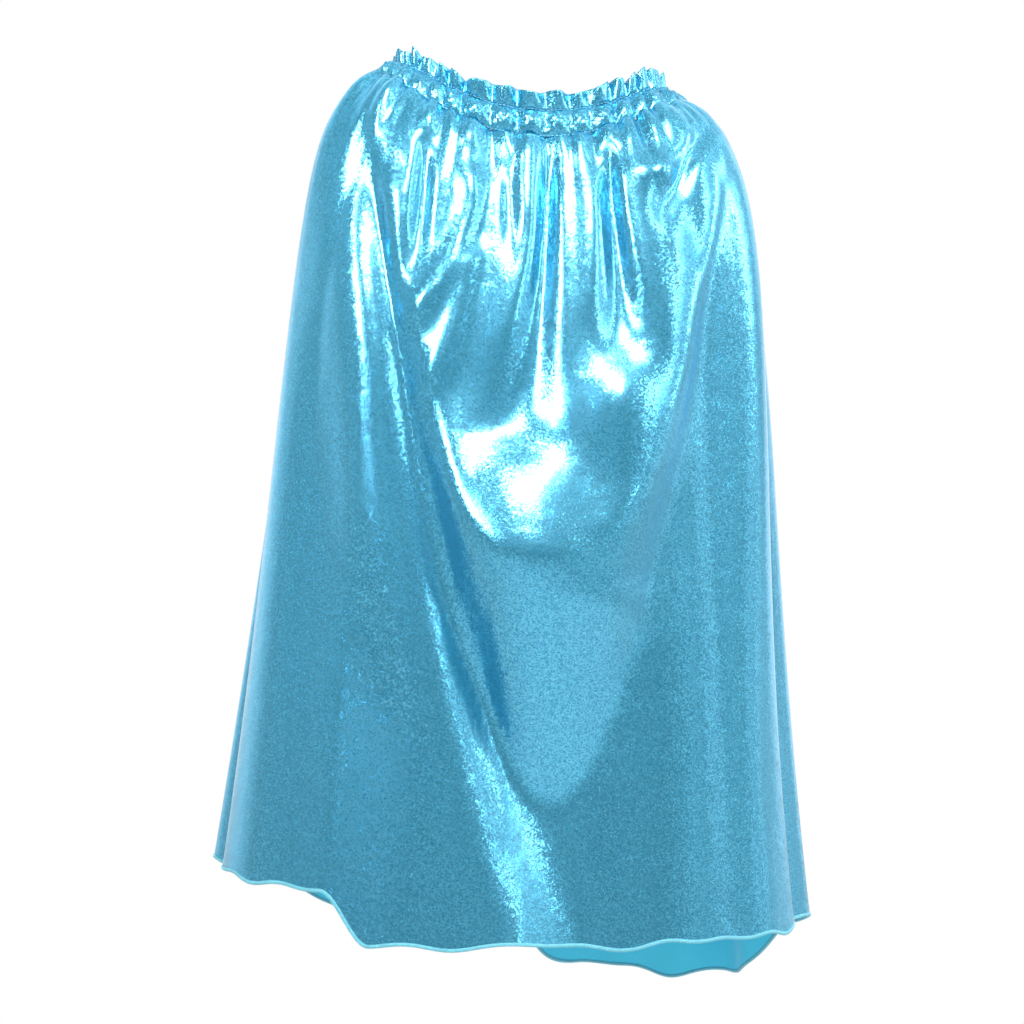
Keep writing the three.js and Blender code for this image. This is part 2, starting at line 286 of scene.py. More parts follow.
def thicken(piece: bpy.types.Object, thickness: float, second_slot: bool = False) -> None:
    """Gives a sheet its thickness, half to each side, with the rim closed.

    Args:
        piece: The sheet.
        thickness: In millimetres.
        second_slot: The inner face takes the second material.
    """
    solid = piece.modifiers.new("cloth thickness", "SOLIDIFY")
    solid.thickness = thickness * MM
    solid.offset = 0.0
    solid.use_even_offset = False
    solid.material_offset = 1 if second_slot else 0


def complete(
    piece: bpy.types.Object, materials: Sequence[bpy.types.Material], body: Body, node: str
) -> bpy.types.Object:
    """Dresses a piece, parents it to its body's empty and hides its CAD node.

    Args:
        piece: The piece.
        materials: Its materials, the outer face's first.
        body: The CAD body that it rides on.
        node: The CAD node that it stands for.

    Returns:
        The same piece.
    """
    for material in materials:
        piece.data.materials.append(material)
    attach(piece, body.value)
    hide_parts(node)
    return piece


# ---- finishes --------------------------------------------------------------------------------------


def linear(hex_colour: str) -> tuple[float, float, float, float]:
    """An sRGB hex colour as linear light.

    Args:
        hex_colour: A hash sign and six hex digits.

    Returns:
        Red, green, blue and an alpha of 1.
    """
    channels = [int(hex_colour[i : i + 2], 16) / 255 for i in (1, 3, 5)]
    lit = [c / 12.92 if c <= 0.04045 else ((c + 0.055) / 1.055) ** 2.4 for c in channels]
    return (*lit, 1.0)


def add(tree: bpy.types.NodeTree, kind: str, settings: dict[str, Any], **links: Any) -> bpy.types.Node:
    """Adds a node with its settings and links.

    Args:
        tree: The material's or world's nodes.
        kind: The node's Blender type.
        settings: Values by property name, or else by input name or number.
        **links: Output sockets by input name, with underscores for spaces, or by underscore and number.

    Returns:
        The new node.
    """
    node = tree.nodes.new(kind)
    for key, value in settings.items():
        if isinstance(key, str) and hasattr(node, key):
            setattr(node, key, value)
        else:
            node.inputs[key].default_value = value
    for key, socket in links.items():
        place = int(key[1:]) if key[0] == "_" else key.replace("_", " ")
        tree.links.new(socket, node.inputs[place])
    return node


def new_material(name: str) -> tuple[bpy.types.Material, bpy.types.NodeTree]:
    """Makes a material with no nodes in it.

    Args:
        name: The material's name.

    Returns:
        The material and its nodes.
    """
    material = bpy.data.materials.new(name)
    material.use_nodes = True
    material.node_tree.nodes.clear()
    return material, material.node_tree


def two_tone(
    tree: bpy.types.NodeTree, pattern: bpy.types.NodeSocket, shades: tuple[str, str],
    relief: tuple[float, float], surface: dict[str, float],
) -> None:
    """Finishes a dull material whose pattern drives both its colour and its relief.

    Args:
        tree: The material's nodes.
        pattern: The pattern's height, from 0 to 1.
        shades: The colours of its hollows and of its tops.
        relief: The bump's strength, and its height in millimetres.
        surface: The surface's settings.
    """
    hollows, tops = (linear(shade) for shade in shades)
    mixed = add(tree, "ShaderNodeMix", {"data_type": "RGBA", 6: hollows, 7: tops}, Factor=pattern)
    raised = add(
        tree, "ShaderNodeBump", {"Strength": relief[0], "Distance": relief[1] * MM}, Height=pattern
    )
    cloth = add(
        tree, "ShaderNodeBsdfPrincipled", surface,
        Base_Color=mixed.outputs[2], Normal=raised.outputs["Normal"],
    )
    add(tree, "ShaderNodeOutputMaterial", {}, Surface=cloth.outputs["BSDF"])


@dataclass(frozen=True)
class FoilKnit:
    """Polyester knit with a hot-stamped foil print.

    The eye sees a metallic blue that mirrors its lights in long streaks, broken up into glitter,
    because each dot of foil has its own shade and leans its own way. The print's dots are finer
    than the render can show, so they are drawn coarser, 0.95 mm apart.
    """

    name: str = "foil_printed_knit"
    face: str = "#68bbd6"  # the lightest dots
    knit: str = "#27799c"  # the darkest dots, where the knit shows through
    flank: str = "#3aaad2"  # foil seen edge-on
    dye: str = "#1fa4cc"  # the dyed knit between the dots
    bare: float = 0.2  # share of the knit that no foil covers
    dot: float = 0.95
    lean: float = 0.12
    roughness: float = 0.22
    dent: float = 200 / 9
    dent_depth: float = 4.0
    edge_on: tuple[float, float] = (0.3, 0.65)

    def build(self) -> bpy.types.Material:
        """Makes the material: foil dots over a dyed knit.

        Returns:
            The material.
        """
        material, tree = new_material(self.name)
        place = add(tree, "ShaderNodeTexCoord", {})
        dots = add(
            tree, "ShaderNodeTexVoronoi", {"Scale": 1 / (self.dot * MM)}, Vector=place.outputs["Object"]
        )
        # Each dot's own lean breaks a highlight's edge into glitter.
        centred = add(
            tree, "ShaderNodeVectorMath", {"operation": "SUBTRACT", 1: (0.5, 0.5, 0.5)},
            _0=dots.outputs["Color"],
        )
        tilt = add(
            tree, "ShaderNodeVectorMath", {"operation": "SCALE", "Scale": self.lean},
            _0=centred.outputs["Vector"],
        )
        # Slow dents about 22 mm apart keep long highlights from looking machined.
        dents = add(
            tree, "ShaderNodeTexNoise", {"Scale": 1 / (self.dent * MM), "Detail": 2.0},
            Vector=place.outputs["Object"],
        )
        wavy = add(
            tree, "ShaderNodeBump", {"Strength": 0.25, "Distance": self.dent_depth * MM},
            Height=dents.outputs["Fac"],
        )
        leaning = add(
            tree, "ShaderNodeVectorMath", {"operation": "ADD"},
            _0=wavy.outputs["Normal"], _1=tilt.outputs["Vector"],
        )
        normal = add(
            tree, "ShaderNodeVectorMath", {"operation": "NORMALIZE"}, _0=leaning.outputs["Vector"]
        )
        shade = add(tree, "ShaderNodeSeparateColor", {}, Color=dots.outputs["Color"])
        grain = add(
            tree, "ShaderNodeMix",
            {"data_type": "RGBA", 6: linear(self.knit), 7: linear(self.face)},
            Factor=shade.outputs["Red"],
        )
        facing = add(tree, "ShaderNodeLayerWeight", {"Blend": 0.4})
        edge = add(
            tree, "ShaderNodeMapRange",
            {"From Min": self.edge_on[0], "From Max": self.edge_on[1]},
            Value=facing.outputs["Facing"],
        )
        tinted = add(
            tree, "ShaderNodeMix", {"data_type": "RGBA", 7: linear(self.flank)},
            Factor=edge.outputs["Result"], _6=grain.outputs[2],
        )
        foil = add(
            tree, "ShaderNodeBsdfPrincipled",
            {"Metallic": 1.0, "Roughness": self.roughness, "Coat Weight": 0.6, "Coat Roughness": 0.25},
            Base_Color=tinted.outputs[2], Normal=normal.outputs["Vector"],
        )
        # The dyed knit shows between the dots, which keeps the cloth blue where it mirrors nothing.
        knit = add(
            tree, "ShaderNodeBsdfPrincipled",
            {"Base Color": linear(self.dye), "Roughness": 0.6, "Sheen Weight": 0.2},
        )
        cloth = add(
            tree, "ShaderNodeMixShader", {"Fac": self.bare},
            _1=foil.outputs["BSDF"], _2=knit.outputs["BSDF"],
        )
        add(tree, "ShaderNodeOutputMaterial", {}, Surface=cloth.outputs["Shader"])
        return material


@dataclass(frozen=True)
class MatteKnit:
    """The same knit's unprinted back.

    The eye sees a soft, even, brighter blue that mirrors nothing, with a fine grain of stitches.
    """

    name: str = "unprinted_knit"
    shadow: str = "#34bee0"
    face: str = "#54d2ec"
    grain: float = 0.9

    def build(self) -> bpy.types.Material:
        """Makes the material: a matte cloth with an even grain.

        Returns:
            The material.
        """
        material, tree = new_material(self.name)
        place = add(tree, "ShaderNodeTexCoord", {})
        grain = add(
            tree, "ShaderNodeTexNoise", {"Scale": 1 / (self.grain * MM), "Detail": 2.0},
            Vector=place.outputs["Object"],
        )
        surface = {"Roughness": 0.75, "Sheen Weight": 0.25, "Sheen Roughness": 0.4}
        two_tone(tree, grain.outputs["Fac"], (self.shadow, self.face), (0.25, 0.4), surface)
        return material


@dataclass(frozen=True)
class Thread:
    """Spun or textured polyester thread, and the nap of hook and loop tape.

    The eye sees a dull, soft-edged yarn in two close shades, with no highlight.
    """

    name: str
    face: str
    shadow: str
    twist: float = 0.5

    def build(self) -> bpy.types.Material:
        """Makes the material: fibres that vary between two close shades.

        Returns:
            The material.
        """
        material, tree = new_material(self.name)
        place = add(tree, "ShaderNodeTexCoord", {})
        fibres = add(
            tree, "ShaderNodeTexNoise", {"Scale": 1 / (self.twist * MM), "Detail": 3.0},
            Vector=place.outputs["Object"],
        )
        surface = {"Roughness": 0.6, "Sheen Weight": 0.3, "Sheen Roughness": 0.5}
        two_tone(tree, fibres.outputs["Fac"], (self.shadow, self.face), (0.4, 0.3), surface)
        return material


@dataclass(frozen=True)
class Ribbed:
    """A woven tape in a matte or satin yarn.

    The eye sees fine even ribs across the tape: chalky on elastic, and smoother on a satin label.
    """

    name: str
    face: str
    shadow: str
    rib: float
    roughness: float = 0.7
    sheen: float = 0.2
    wave: float = 0.314  # the wave texture's own length at scale 1

    def build(self) -> bpy.types.Material:
        """Makes the material: a wave that follows the tape's own UV map.

        Returns:
            The material.
        """
        material, tree = new_material(self.name)
        place = add(tree, "ShaderNodeTexCoord", {})
        ribs = add(
            tree, "ShaderNodeTexWave",
            {"Scale": self.wave / (self.rib * MM), "Distortion": 0.6, "Detail": 1.0},
            Vector=place.outputs["UV"],
        )
        surface = {"Roughness": self.roughness, "Sheen Weight": self.sheen}
        two_tone(tree, ribs.outputs["Fac"], (self.shadow, self.face), (0.5, 0.3), surface)
        return material


@dataclass(frozen=True)
class Finishes:
    """Every material on the cape, made once."""

    foil: bpy.types.Material
    matte: bpy.types.Material
    thread: bpy.types.Material
    overlock: bpy.types.Material
    elastic: bpy.types.Material
    hooks: bpy.types.Material
    loops: bpy.types.Material
    satin: bpy.types.Material

    @classmethod
    def make(cls) -> "Finishes":
        """Builds every material.

        Returns:
            The set.
        """
        return cls(
            foil=FoilKnit().build(),
            matte=MatteKnit().build(),
            thread=Thread("spun_polyester_thread", "#8fd0e2", "#5fb2cd").build(),
            overlock=Thread("textured_overlock_thread", "#74bfcc", "#459cb4", 0.7).build(),
            elastic=Ribbed("woven_elastic_tape", "#f2f4f4", "#cfd6d8", 1.2).build(),
            hooks=Thread("moulded_nylon_hooks", "#a8d8e4", "#8cc6d6", 1.5).build(),
            loops=Thread("brushed_nylon_loops", "#9ad2e2", "#6db6cb", 0.4).build(),
            satin=Ribbed("woven_satin_label", "#f7f8f8", "#e6eaec", 0.3, 0.35, 0.0).build(),
        )


# ---- the neck line and the fall of the cloth -----------------------------------------------------


@dataclass(frozen=True)
class Around:
    """A value given for back, right, throat and left, and blended between them."""

    back: float
    right: float
    throat: float
    left: float

    def at(self, angle: Array) -> Array:
        """The value at each angle: squared sines and cosines share it out round the body.

        Args:
            angle: Where round the body, in radians.

        Returns:
            The blended value.
        """
        share = (1 + np.cos(angle)) / 2
        middle = share * self.back + (1 - share) * self.throat
        right, left = np.clip(np.sin(angle), 0, None) ** 2, np.clip(-np.sin(angle), 0, None) ** 2
        return np.cos(angle) ** 2 * middle + right * self.right + left * self.left


@dataclass(frozen=True)
class NeckLine:
    """The rounded oval that the band follows, high over the shoulders and low at the throat."""

    half_width: float = 121.0
    half_depth: float = 75.0
    shift: float = -1.0
    squareness: float = 2.2
    throat_y: float = 70.5
    flat_angle: float = 0.4
    turn_angle: float = 0.5
    rise: tuple[float, float, float] = (18.0, 27.0, 11.0)
    lean: Around = Around(12.0, 62.0, 20.0, 62.0)
    open_angle: float = 0.035

    def level_angle(self, angle: Array) -> Array:
        """The angle that drives height and lean, held at the throat's value across the flat."""
        past = np.maximum(0.0, pi - np.abs(angle) - self.flat_angle) * pi / (pi - self.flat_angle)
        return np.where(angle < 0, -1.0, 1.0) * (pi - past)

    def centre(self, angle: Array) -> Array:
        """The band's middle: an oval whose height is a short sum of sines and cosines.

        Args:
            angle: Where round the body, in radians.

        Returns:
            A point for each angle.
        """
        level = self.level_angle(angle)
        back, shoulders, left = self.rise
        x = self.shift + self.half_width * signed_power(np.sin(angle), self.squareness)
        y = np.minimum(-self.half_depth * signed_power(np.cos(angle), self.squareness), self.throat_y)
        z = back * np.cos(level) - shoulders * np.cos(2 * level) - left * np.sin(level)
        return np.stack([x, y, z], -1)

    def out(self, angle: Array) -> Array:
        """Level and away from the neck, and straight ahead across the flat throat.

        Args:
            angle: Where round the body, in radians.

        Returns:
            A direction for each angle.
        """
        oval = [np.sin(angle) / self.half_width, -np.cos(angle) / self.half_depth, 0 * angle]
        square = 1 - ease((pi - np.abs(angle) - self.flat_angle) / self.turn_angle)[..., None]
        return unit(unit(np.stack(oval, -1)) * (1 - square) + np.array([0.0, 1.0, 0.0]) * square)

    def axes(self, angle: Array) -> tuple[Array, Array]:
        """The band's own directions, which lean over the shoulders.

        Args:
            angle: Where round the body, in radians.

        Returns:
            The way its face looks, and the way up its cloth, for each angle.
        """
        lean = np.radians(self.lean.at(self.level_angle(angle)))[..., None]
        out = self.out(angle)
        return out * np.cos(lean) + UP * np.sin(lean), UP * np.cos(lean) - out * np.sin(lean)

    def ends(self) -> tuple[float, float]:
        """The angles at which the band's two ends stop."""
        return self.open_angle - pi, pi - self.open_angle


@dataclass(frozen=True)
class Ridge:
    """One fold of the back: a crest, or a crease where its height is negative.

    Its line is x as a smooth polynomial of z through the points. Across the line it is a bell whose
    width differs on its two sides and grows by `spread` along its length. It fades in over `onset`
    from its start, and out over `fade` to its end.
    """

    points: tuple[tuple[float, float], ...]
    height: float
    left: float
    right: float
    start: float
    end: float
    fade: float = 60.0
    spread: float = 1.0
    onset: float = 30.0
    reach: float = 20.0  # how far past its end points the line goes on turning

    def rise(self, x: Array, z: Array) -> Array:
        """How far the fold stands out of the smooth drape.

        Args:
            x: Places across the back.
            z: Heights.

        Returns:
            A height for each place.
        """
        across, down = np.array(self.points).T
        line = np.polynomial.Polynomial.fit(down, across, min(3, len(across) - 1))
        offset = x - line(np.clip(z, down.min() - self.reach, down.max() + self.reach))
        share = np.clip((self.start - z) / (self.start - self.end), 0, 1)
        width = np.where(offset < 0, self.left, self.right) * (1 + (self.spread - 1) * share**3)
        span = between(z, self.start, self.start - self.onset) * between(z, self.end, self.end + self.fade)
        return self.height * span * np.exp(-((offset / width) ** 2))


@dataclass(frozen=True)
class Puff:
    """A small soft swelling or dent, such as slack caught between two pleats."""

    x: float
    z: float
    height: float
    width: float
    length: float

    def rise(self, x: Array, z: Array) -> Array:
        """How far it stands out at each point: a bell in both directions."""
        return self.height * hump(x, self.x, self.width) * hump(z, self.z, self.length)


@dataclass(frozen=True)
class Gathers:
    """The pleats that the drawn-up elastic makes, which merge into fewer folds further down."""

    lobes: float = 41.0
    fine: float = 4.4  # depths of the three sets of pleats below the band
    middle: float = 5.6
    broad: float = 9.0

    def phase(self, angle: Array) -> Array:
        """The pleats' phase: evenly spaced, then drifted so that no two are alike."""
        return self.lobes * (angle + waver(angle, 11, (2.3, 5.1, 9.7, 15.0), 0.05))

    def pleat(self, phase: Array) -> Array:
        """A rounded ridge with a sharp valley, from -1 to 1 over one turn of the phase."""
        return 2.0 * (np.cos(phase / 2) ** 2 + 0.02) ** 0.35 - 1.0

    def strength(self, angle: Array) -> Array:
        """How deep each pleat is against its neighbours."""
        return 1.0 + waver(angle, 12, (7.0, 13.0, 22.0), 0.45)

    def on_band(self, angle: Array, height: Array) -> Array:
        """Depth on the band: pinched on both rows of stitches and full between and above them.

        Args:
            angle: Where round the body, in radians.
            height: Distance up the band from its middle.

        Returns:
            How far the cloth stands out.
        """
        pinch = np.abs(np.abs(height) - STITCH_ROW)
        full = 1.9 + 1.6 * ease(pinch / 7.0)
        crumple = waver(angle * 3 + height * 0.14, 13, (19.0, 31.0, 43.0), 1.5) * ease(pinch / 5.0)
        # The tapes and the tab are sewn on at the throat, and that presses the gathers flat.
        sewn = 1 - 0.97 * between(np.abs(angle), pi - 0.85, pi - 0.6)
        return (full * self.pleat(self.phase(angle)) * self.strength(angle) + crumple) * sewn

    def below(self, angle: Array, drop: Array) -> Array:
        """Depth below the band: each set of pleats gives way to one with half as many.

        Args:
            angle: Where round the body, in radians.
            drop: Distance below the band's foot.

        Returns:
            How far the cloth stands out.
        """
        phase = self.phase(angle)
        back = between(np.cos(angle), 0.1, 0.6)
        fine = self.fine * np.exp(-drop / 24.0) * self.pleat(phase)
        # The two wider sets fade sooner on the back, and elsewhere they are centred on the smooth fall.
        half = self.middle * (0.35 + 0.65 * ease(drop / 20.0)) * np.exp(-drop / (85.0 - 42.0 * back))
        second = phase / 2 + 0.8 + waver(angle, 14, (3.0, 6.0), 0.7)
        middle = half * (self.pleat(second) - 0.5 * (1 - back))
        wide = self.broad * ease(drop / 70.0) * np.exp(-drop / (520.0 - 300.0 * back))
        third = phase / 4 + 0.3 + waver(angle, 15, (2.0, 4.0), 0.6)
        broad = wide * (self.pleat(third) - 0.8 * (1 - back))
        return (fine + middle) * self.strength(angle) + broad * np.clip(1 - 0.55 * np.cos(angle), 0, 1)


@dataclass(frozen=True)
class Drape:
    """The cape panel's hanging surface: a smooth fall from band to hem, with its folds."""

    neck: NeckLine = NeckLine()
    gathers: Gathers = Gathers()
    shoulder_reach: Around = Around(60.0, 100.0, 60.0, 80.0)
    fall_reach: Around = Around(330.0, 400.0, 330.0, 500.0)
    flare: Around = Around(8.0, 6.0, 8.0, 9.0)
    hem_centre: float = -16.0
    hem_half_width: float = 237.0
    hem_depths: tuple[float, float] = (165.0, 150.0)
    hem_level: float = -652.0
    hem_open: tuple[float, float] = (0.197, 0.0342)
    corner: float = 45.0
    band_foot: float = 11.4
    left_lift: tuple[float, float, float] = (45.0, -1.75, 0.55)  # height, middle, width
    # Height, then the angles where it starts and is full, towards the back and towards the side.
    rear_lift: tuple[float, float, float, float, float] = (38.0, -0.44, -0.64, -1.75, -0.95)
    right_drop: tuple[float, float, float] = (63.0, 1.65, 0.65)  # depth, start, length
    left_drop: tuple[float, float, float] = (45.0, 2.2, 0.8)
    wave: float = 4.0

    def hem(self, angle: Array) -> Array:
        """The hem: the neck's kind of oval, lifted at the left and dropped towards the throat.

        Args:
            angle: Where round the body, in radians.

        Returns:
            A point for each angle.
        """
        x = self.hem_centre + self.hem_half_width * signed_power(np.sin(angle), self.neck.squareness)
        back, front = self.hem_depths
        depth = np.where(np.cos(angle) > 0, back, front)
        y = -depth * signed_power(np.cos(angle), self.neck.squareness)
        height, near, near_full, far, far_full = self.rear_lift
        lift = self.left_lift[0] * hump(angle, *self.left_lift[1:])
        lift = lift + height * between(angle, near, near_full) * between(angle, far, far_full)
        drop = 0.0
        for (depth_there, start, length), way in ((self.right_drop, angle), (self.left_drop, -angle)):
            drop = drop + depth_there * ease((way - start) / length)
        wave = waver(angle, 41, (9.0, 14.0, 23.0), self.wave)
        return np.stack([x, y, self.hem_level + lift - drop + wave], -1)

    def smooth(self, angle: Array, share: Array) -> Array:
        """The cloth without folds: a cubic Bezier curve from the band's foot to the hem.

        Args:
            angle: Where round the body, in radians.
            share: How far down, from 0 to 1.

        Returns:
            A point for each place.
        """
        _, up = self.neck.axes(angle)
        out = self.neck.out(angle)
        top = self.neck.centre(angle) - up * self.band_foot
        flare = np.radians(self.flare.at(angle))[..., None]
        down = out * np.sin(flare) - UP * np.cos(flare)
        hem = self.hem(angle)
        knots = [
            top,
            top - up * self.shoulder_reach.at(angle)[..., None],
            hem - down * self.fall_reach.at(angle)[..., None],
            hem,
        ]
        s = share[..., None]
        weights = [(1 - s) ** 3, 3 * s * (1 - s) ** 2, 3 * s**2 * (1 - s), s**3]
        return sum(w * k for w, k in zip(weights, knots))

    def edge_angles(self, share: Array) -> tuple[Array, Array]:
        """The left and right front edges' angles at a share of the way down.

        Args:
            share: How far down, from 0 to 1.

        Returns:
            The left edge's angles and the right edge's.
        """
        near = self.neck.open_angle
        left = near + (self.hem_open[0] - near) * share**1.5 - pi
        return left, pi - near - (self.hem_open[1] - near) * share

    def params(self, across: Array, down: Array) -> tuple[Array, Array]:
        """The angle and share at a place on the panel, with the lower front corners rounded.

        Args:
            across: From the left front edge, 0, to the right, 1.
            down: From the band, 0, to the hem, 1.

        Returns:
            The angles and the shares.
        """
        ones = np.ones_like(across)
        left, right = self.edge_angles(ones)
        hem = self.hem(left + (right - left) * across)
        corner = self.hem(np.where(across < 0.5, left, right))
        inside = np.maximum(0.0, self.corner - np.hypot(*(hem - corner)[..., :2].T).T)
        lift = self.corner - np.sqrt(self.corner**2 - inside**2)
        share = down * (1 - lift / abs(self.hem_level))
        left, right = self.edge_angles(share)
        return left + (right - left) * across, share


BACK_FOLDS: tuple[Ridge | Puff, ...] = (
    # The left side's long rounded fold.
    Ridge(((-152, 5), (-146, -102), (-135, -187), (-125, -273), (-116, -358), (-104, -430),
           (-78, -470)), 10, 28, 30, 30, -520, 200, 1.0, 200),
    # The diagonal ridge from the left shoulder down to the hem.
    Ridge(((-125, -144), (-108, -200), (-100, -260), (-92, -330), (-84, -408), (-67, -482),
           (-47, -566), (-27, -654)), 8, 36, 24, -40, -760, 340, 1.2, 160),
    # The valley along the ridge's right, and a small crest in it.
    Ridge(((-126, -20), (-124, -70), (-113, -120), (-104, -170), (-86, -243), (-66, -340),
           (-45, -440), (-22, -540)), -8, 13, 17, 0, -640, 220, 1.2, 120),
    Ridge(((-112, -60), (-98, -120), (-90, -170), (-72, -243), (-55, -340)), 4, 8, 16, -40, -420, 90),
    # Two sharp creases under the band that open out as they fall.
    Ridge(((13, -10), (12, -60), (9, -120), (1, -190), (-6, -236)), -12, 6, 6, 0, -336, 90, 10.0),
    Ridge(((62, -12), (62, -60), (66, -110), (69, -150)), -13, 6, 6, 0, -238, 70, 6.5),
    # Two short crests on the upper left that lean towards the ridge.
    Ridge(((-47, -50), (-51, -90), (-64, -125), (-84, -162)), 7, 11, 9, -30, -185, 40, 1.6),
    Ridge(((-48, -120), (-56, -150), (-64, -185), (-76, -220)), 6, 10, 10, -100, -245, 50, 1.5),
    # Short creases between the gathers.
    Ridge(((-84, -20), (-86, -60), (-90, -110)), -8, 6, 6, 0, -160, 70, 2.0),
    Ridge(((-20, -20), (-18, -60), (-16, -110)), -6, 6, 6, 0, -150, 70, 2.0),
    Ridge(((134, -16), (122, -40), (112, -62)), -6, 7, 7, 0, -110, 50, 2.0),
    # The right side's edge and the long shallow valley beside it.
    Ridge(((168, -10), (173, -45), (177, -123), (181, -230), (187, -420)),
          4, 14, 13, 40, -560, 300, 1.0, 40),
    Ridge(((150, -120), (156, -300), (164, -480), (168, -640)), -3, 22, 22, -80, -760, 260, 1.0, 150),
    # The left side's flutes.
    Ridge(((-192, -200), (-200, -420), (-212, -600)), 3, 24, 26, -60, -760, 160, 1.0, 200),
    Ridge(((-172, -260), (-170, -420), (-166, -620)), -2.5, 26, 30, -120, -760, 160, 1.0, 250),
    # Slack between the gathers, and down the middle of the lobe.
    Puff(98, -50, 6, 17, 12),
    Puff(40, -120, 4, 18, 60),
    Puff(62, -234, 9, 40, 50),
    Puff(-14, -292, 5, 40, 30),
    Puff(50, -394, 6, 42, 20),
)


@dataclass(frozen=True)
class Swag:
    """The slack of the back: a lobe that bellies out, turns under at a U-shaped lip and tucks in."""

    centre: float = 6.0
    bottom: float = -357.0
    height: float = 302.0
    reach: tuple[float, float] = (112.0, 127.0)
    curve: float = 2.7
    out: float = 34.0
    tuck: float = 40.0
    fold: tuple[float, float, float] = (17.0, -543.0, 0.028)  # middle, height, curl
    hem: float = -668.0
    width: float = 72.0
    fullest: float = 12.0  # the lip's fullest place lies this far left of the lobe's centre
    lip_shelf: float = 12.0
    inner_shelf: float = 15.0

    def lip(self, x: Array) -> Array:
        """The lip's height: a rounded U, steeper than a parabola at its sides."""
        reach = np.where(x < self.centre, self.reach[0], self.reach[1])
        return self.bottom + self.height * np.abs((x - self.centre) / reach) ** self.curve

    def rise(self, x: Array, z: Array) -> Array:
        """Out towards the lip, in below it to the lower fold, then slowly out again to the hem.

        Args:
            x: Places across the back.
            z: Heights.

        Returns:
            How far the cloth stands out of the smooth fall.
        """
        lip = self.lip(x)
        bend, low, curl = self.fold
        fold = np.minimum(low + curl * (x - bend) ** 2, lip - 130.0)
        belly = self.out * np.clip(1.15 * hump(x, self.centre, 170.0), 0, 1)
        tuck = self.tuck * hump(x, bend, self.width)
        full = hump(x, self.centre - self.fullest, self.width)
        shelf = np.clip((-225.0 - z) / 130.0, 0.0, None) ** 1.4 * full
        swell = 0.5 * between(z, 0.0, -200.0) + 0.5 * between(z, -190.0, -430.0)
        inside = belly * swell + self.inner_shelf * shelf
        edge = belly + self.lip_shelf * full
        under = edge - (edge + tuck) * (lip - z) / (lip - fold)
        kick = 0.7 - 0.5 * between(x, -20.0, 45.0)
        fallen = np.clip((fold - z) / (fold - self.hem), 0.0, 1.2)
        # The hollow below the fold opens out towards the right, where the cloth hangs flatter.
        hollow = self.tuck * hump(x, bend, self.width + 70.0 * fallen * between(x, bend, bend + 30.0))
        below = -hollow * (1 - kick * fallen)
        outside = soft_max(under, below, 2.5)
        return -soft_max(-inside, -outside, 3.0) + 3.0


@dataclass
class CapePanel:
    """The one wide panel of foil-printed knit, gathered at the top and rolled at its edges."""

    drape: Drape = field(default_factory=Drape)
    columns: int = 380
    rows: int = 117
    thickness: float = 0.7
    flat_width: float = 1350.0
    flat_length: float = 690.0
    swag: Swag = field(default_factory=Swag)
    crowding: float = 0.0275
    billow: float = 5.0

    def spread(self, steps: Array) -> Array:
        """Crowds the columns towards the two sides, where the cloth turns fastest."""
        return steps + self.crowding * np.sin(4 * pi * steps)

    def surface(self, across: Array, down: Array) -> Array:
        """The draped surface: the smooth fall moved along its own normal by every fold.

        Args:
            across: From the left front edge, 0, to the right, 1.
            down: From the band, 0, to the hem, 1.

        Returns:
            A point for each place.
        """
        angle, share = self.drape.params(across, down)
        base = self.drape.smooth(angle, share)
        step = 1e-3
        along = self.drape.smooth(angle + step, share) - self.drape.smooth(angle - step, share)
        fall = self.drape.smooth(angle, share + step) - self.drape.smooth(angle, share - step)
        normal = unit(np.cross(fall, along))
        drop = np.linalg.norm(base - self.drape.smooth(angle, share * 0), axis=-1)
        x, z = base[..., 0], base[..., 2]
        on_back = between(np.cos(angle), -0.05, 0.35) * ease(drop / 60.0)
        rise = sum(fold.rise(x, z) for fold in BACK_FOLDS) + self.swag.rise(x, z)
        round_folds = self.side_folds(angle, share)
        # The gathers throw the cloth out as soon as the lower stitching lets it go.
        billow = self.billow * (1 - np.exp(-drop / 11.0)) * np.exp(-drop / 150.0)
        billow = billow * between(np.cos(angle), -0.05, 0.6)
        lift = billow + self.drape.gathers.below(angle, drop)
        lift = lift + on_back * rise + (1 - 0.85 * on_back) * round_folds
        return base + normal * lift[..., None]

    def side_folds(self, angle: Array, share: Array) -> Array:
        """Soft flutes that deepen towards the hem round the sides and the front.

        Args:
            angle: Where round the body, in radians.
            share: How far down, from 0 to 1.

        Returns:
            How far each flute stands out.
        """
        wave = np.cos(11 * angle + waver(angle, 21, (1.3, 2.9), 1.2))
        second = np.cos(19 * angle + waver(angle, 22, (1.7, 3.7), 1.0))
        return share**1.2 * (9.5 * wave + 3.5 * second)

    def build(self, foil: bpy.types.Material, matte: bpy.types.Material) -> bpy.types.Object:
        """Makes the panel with its foil face out and its plain face in.

        Args:
            foil: The outer face's material.
            matte: The inner face's material.

        Returns:
            The finished piece.
        """
        across = self.spread(np.linspace(0, 1, self.columns))[None, :]
        # The last row lies close to the edge, so that the rim's shading stays in the rolled hem.
        down = np.append(np.linspace(0, 0.9985, self.rows - 1) ** 1.15, 1.0)[:, None]
        across, down = np.broadcast_arrays(across, down)
        points = self.surface(across, down)
        uv = np.stack([across * self.flat_width * MM, -down * self.flat_length * MM], -1)
        piece = grid_mesh("cape_cloth", points, uv, flip=True)
        thicken(piece, self.thickness, second_slot=True)
        return complete(piece, [foil, matte], Body.CAPE, "cape_panel")


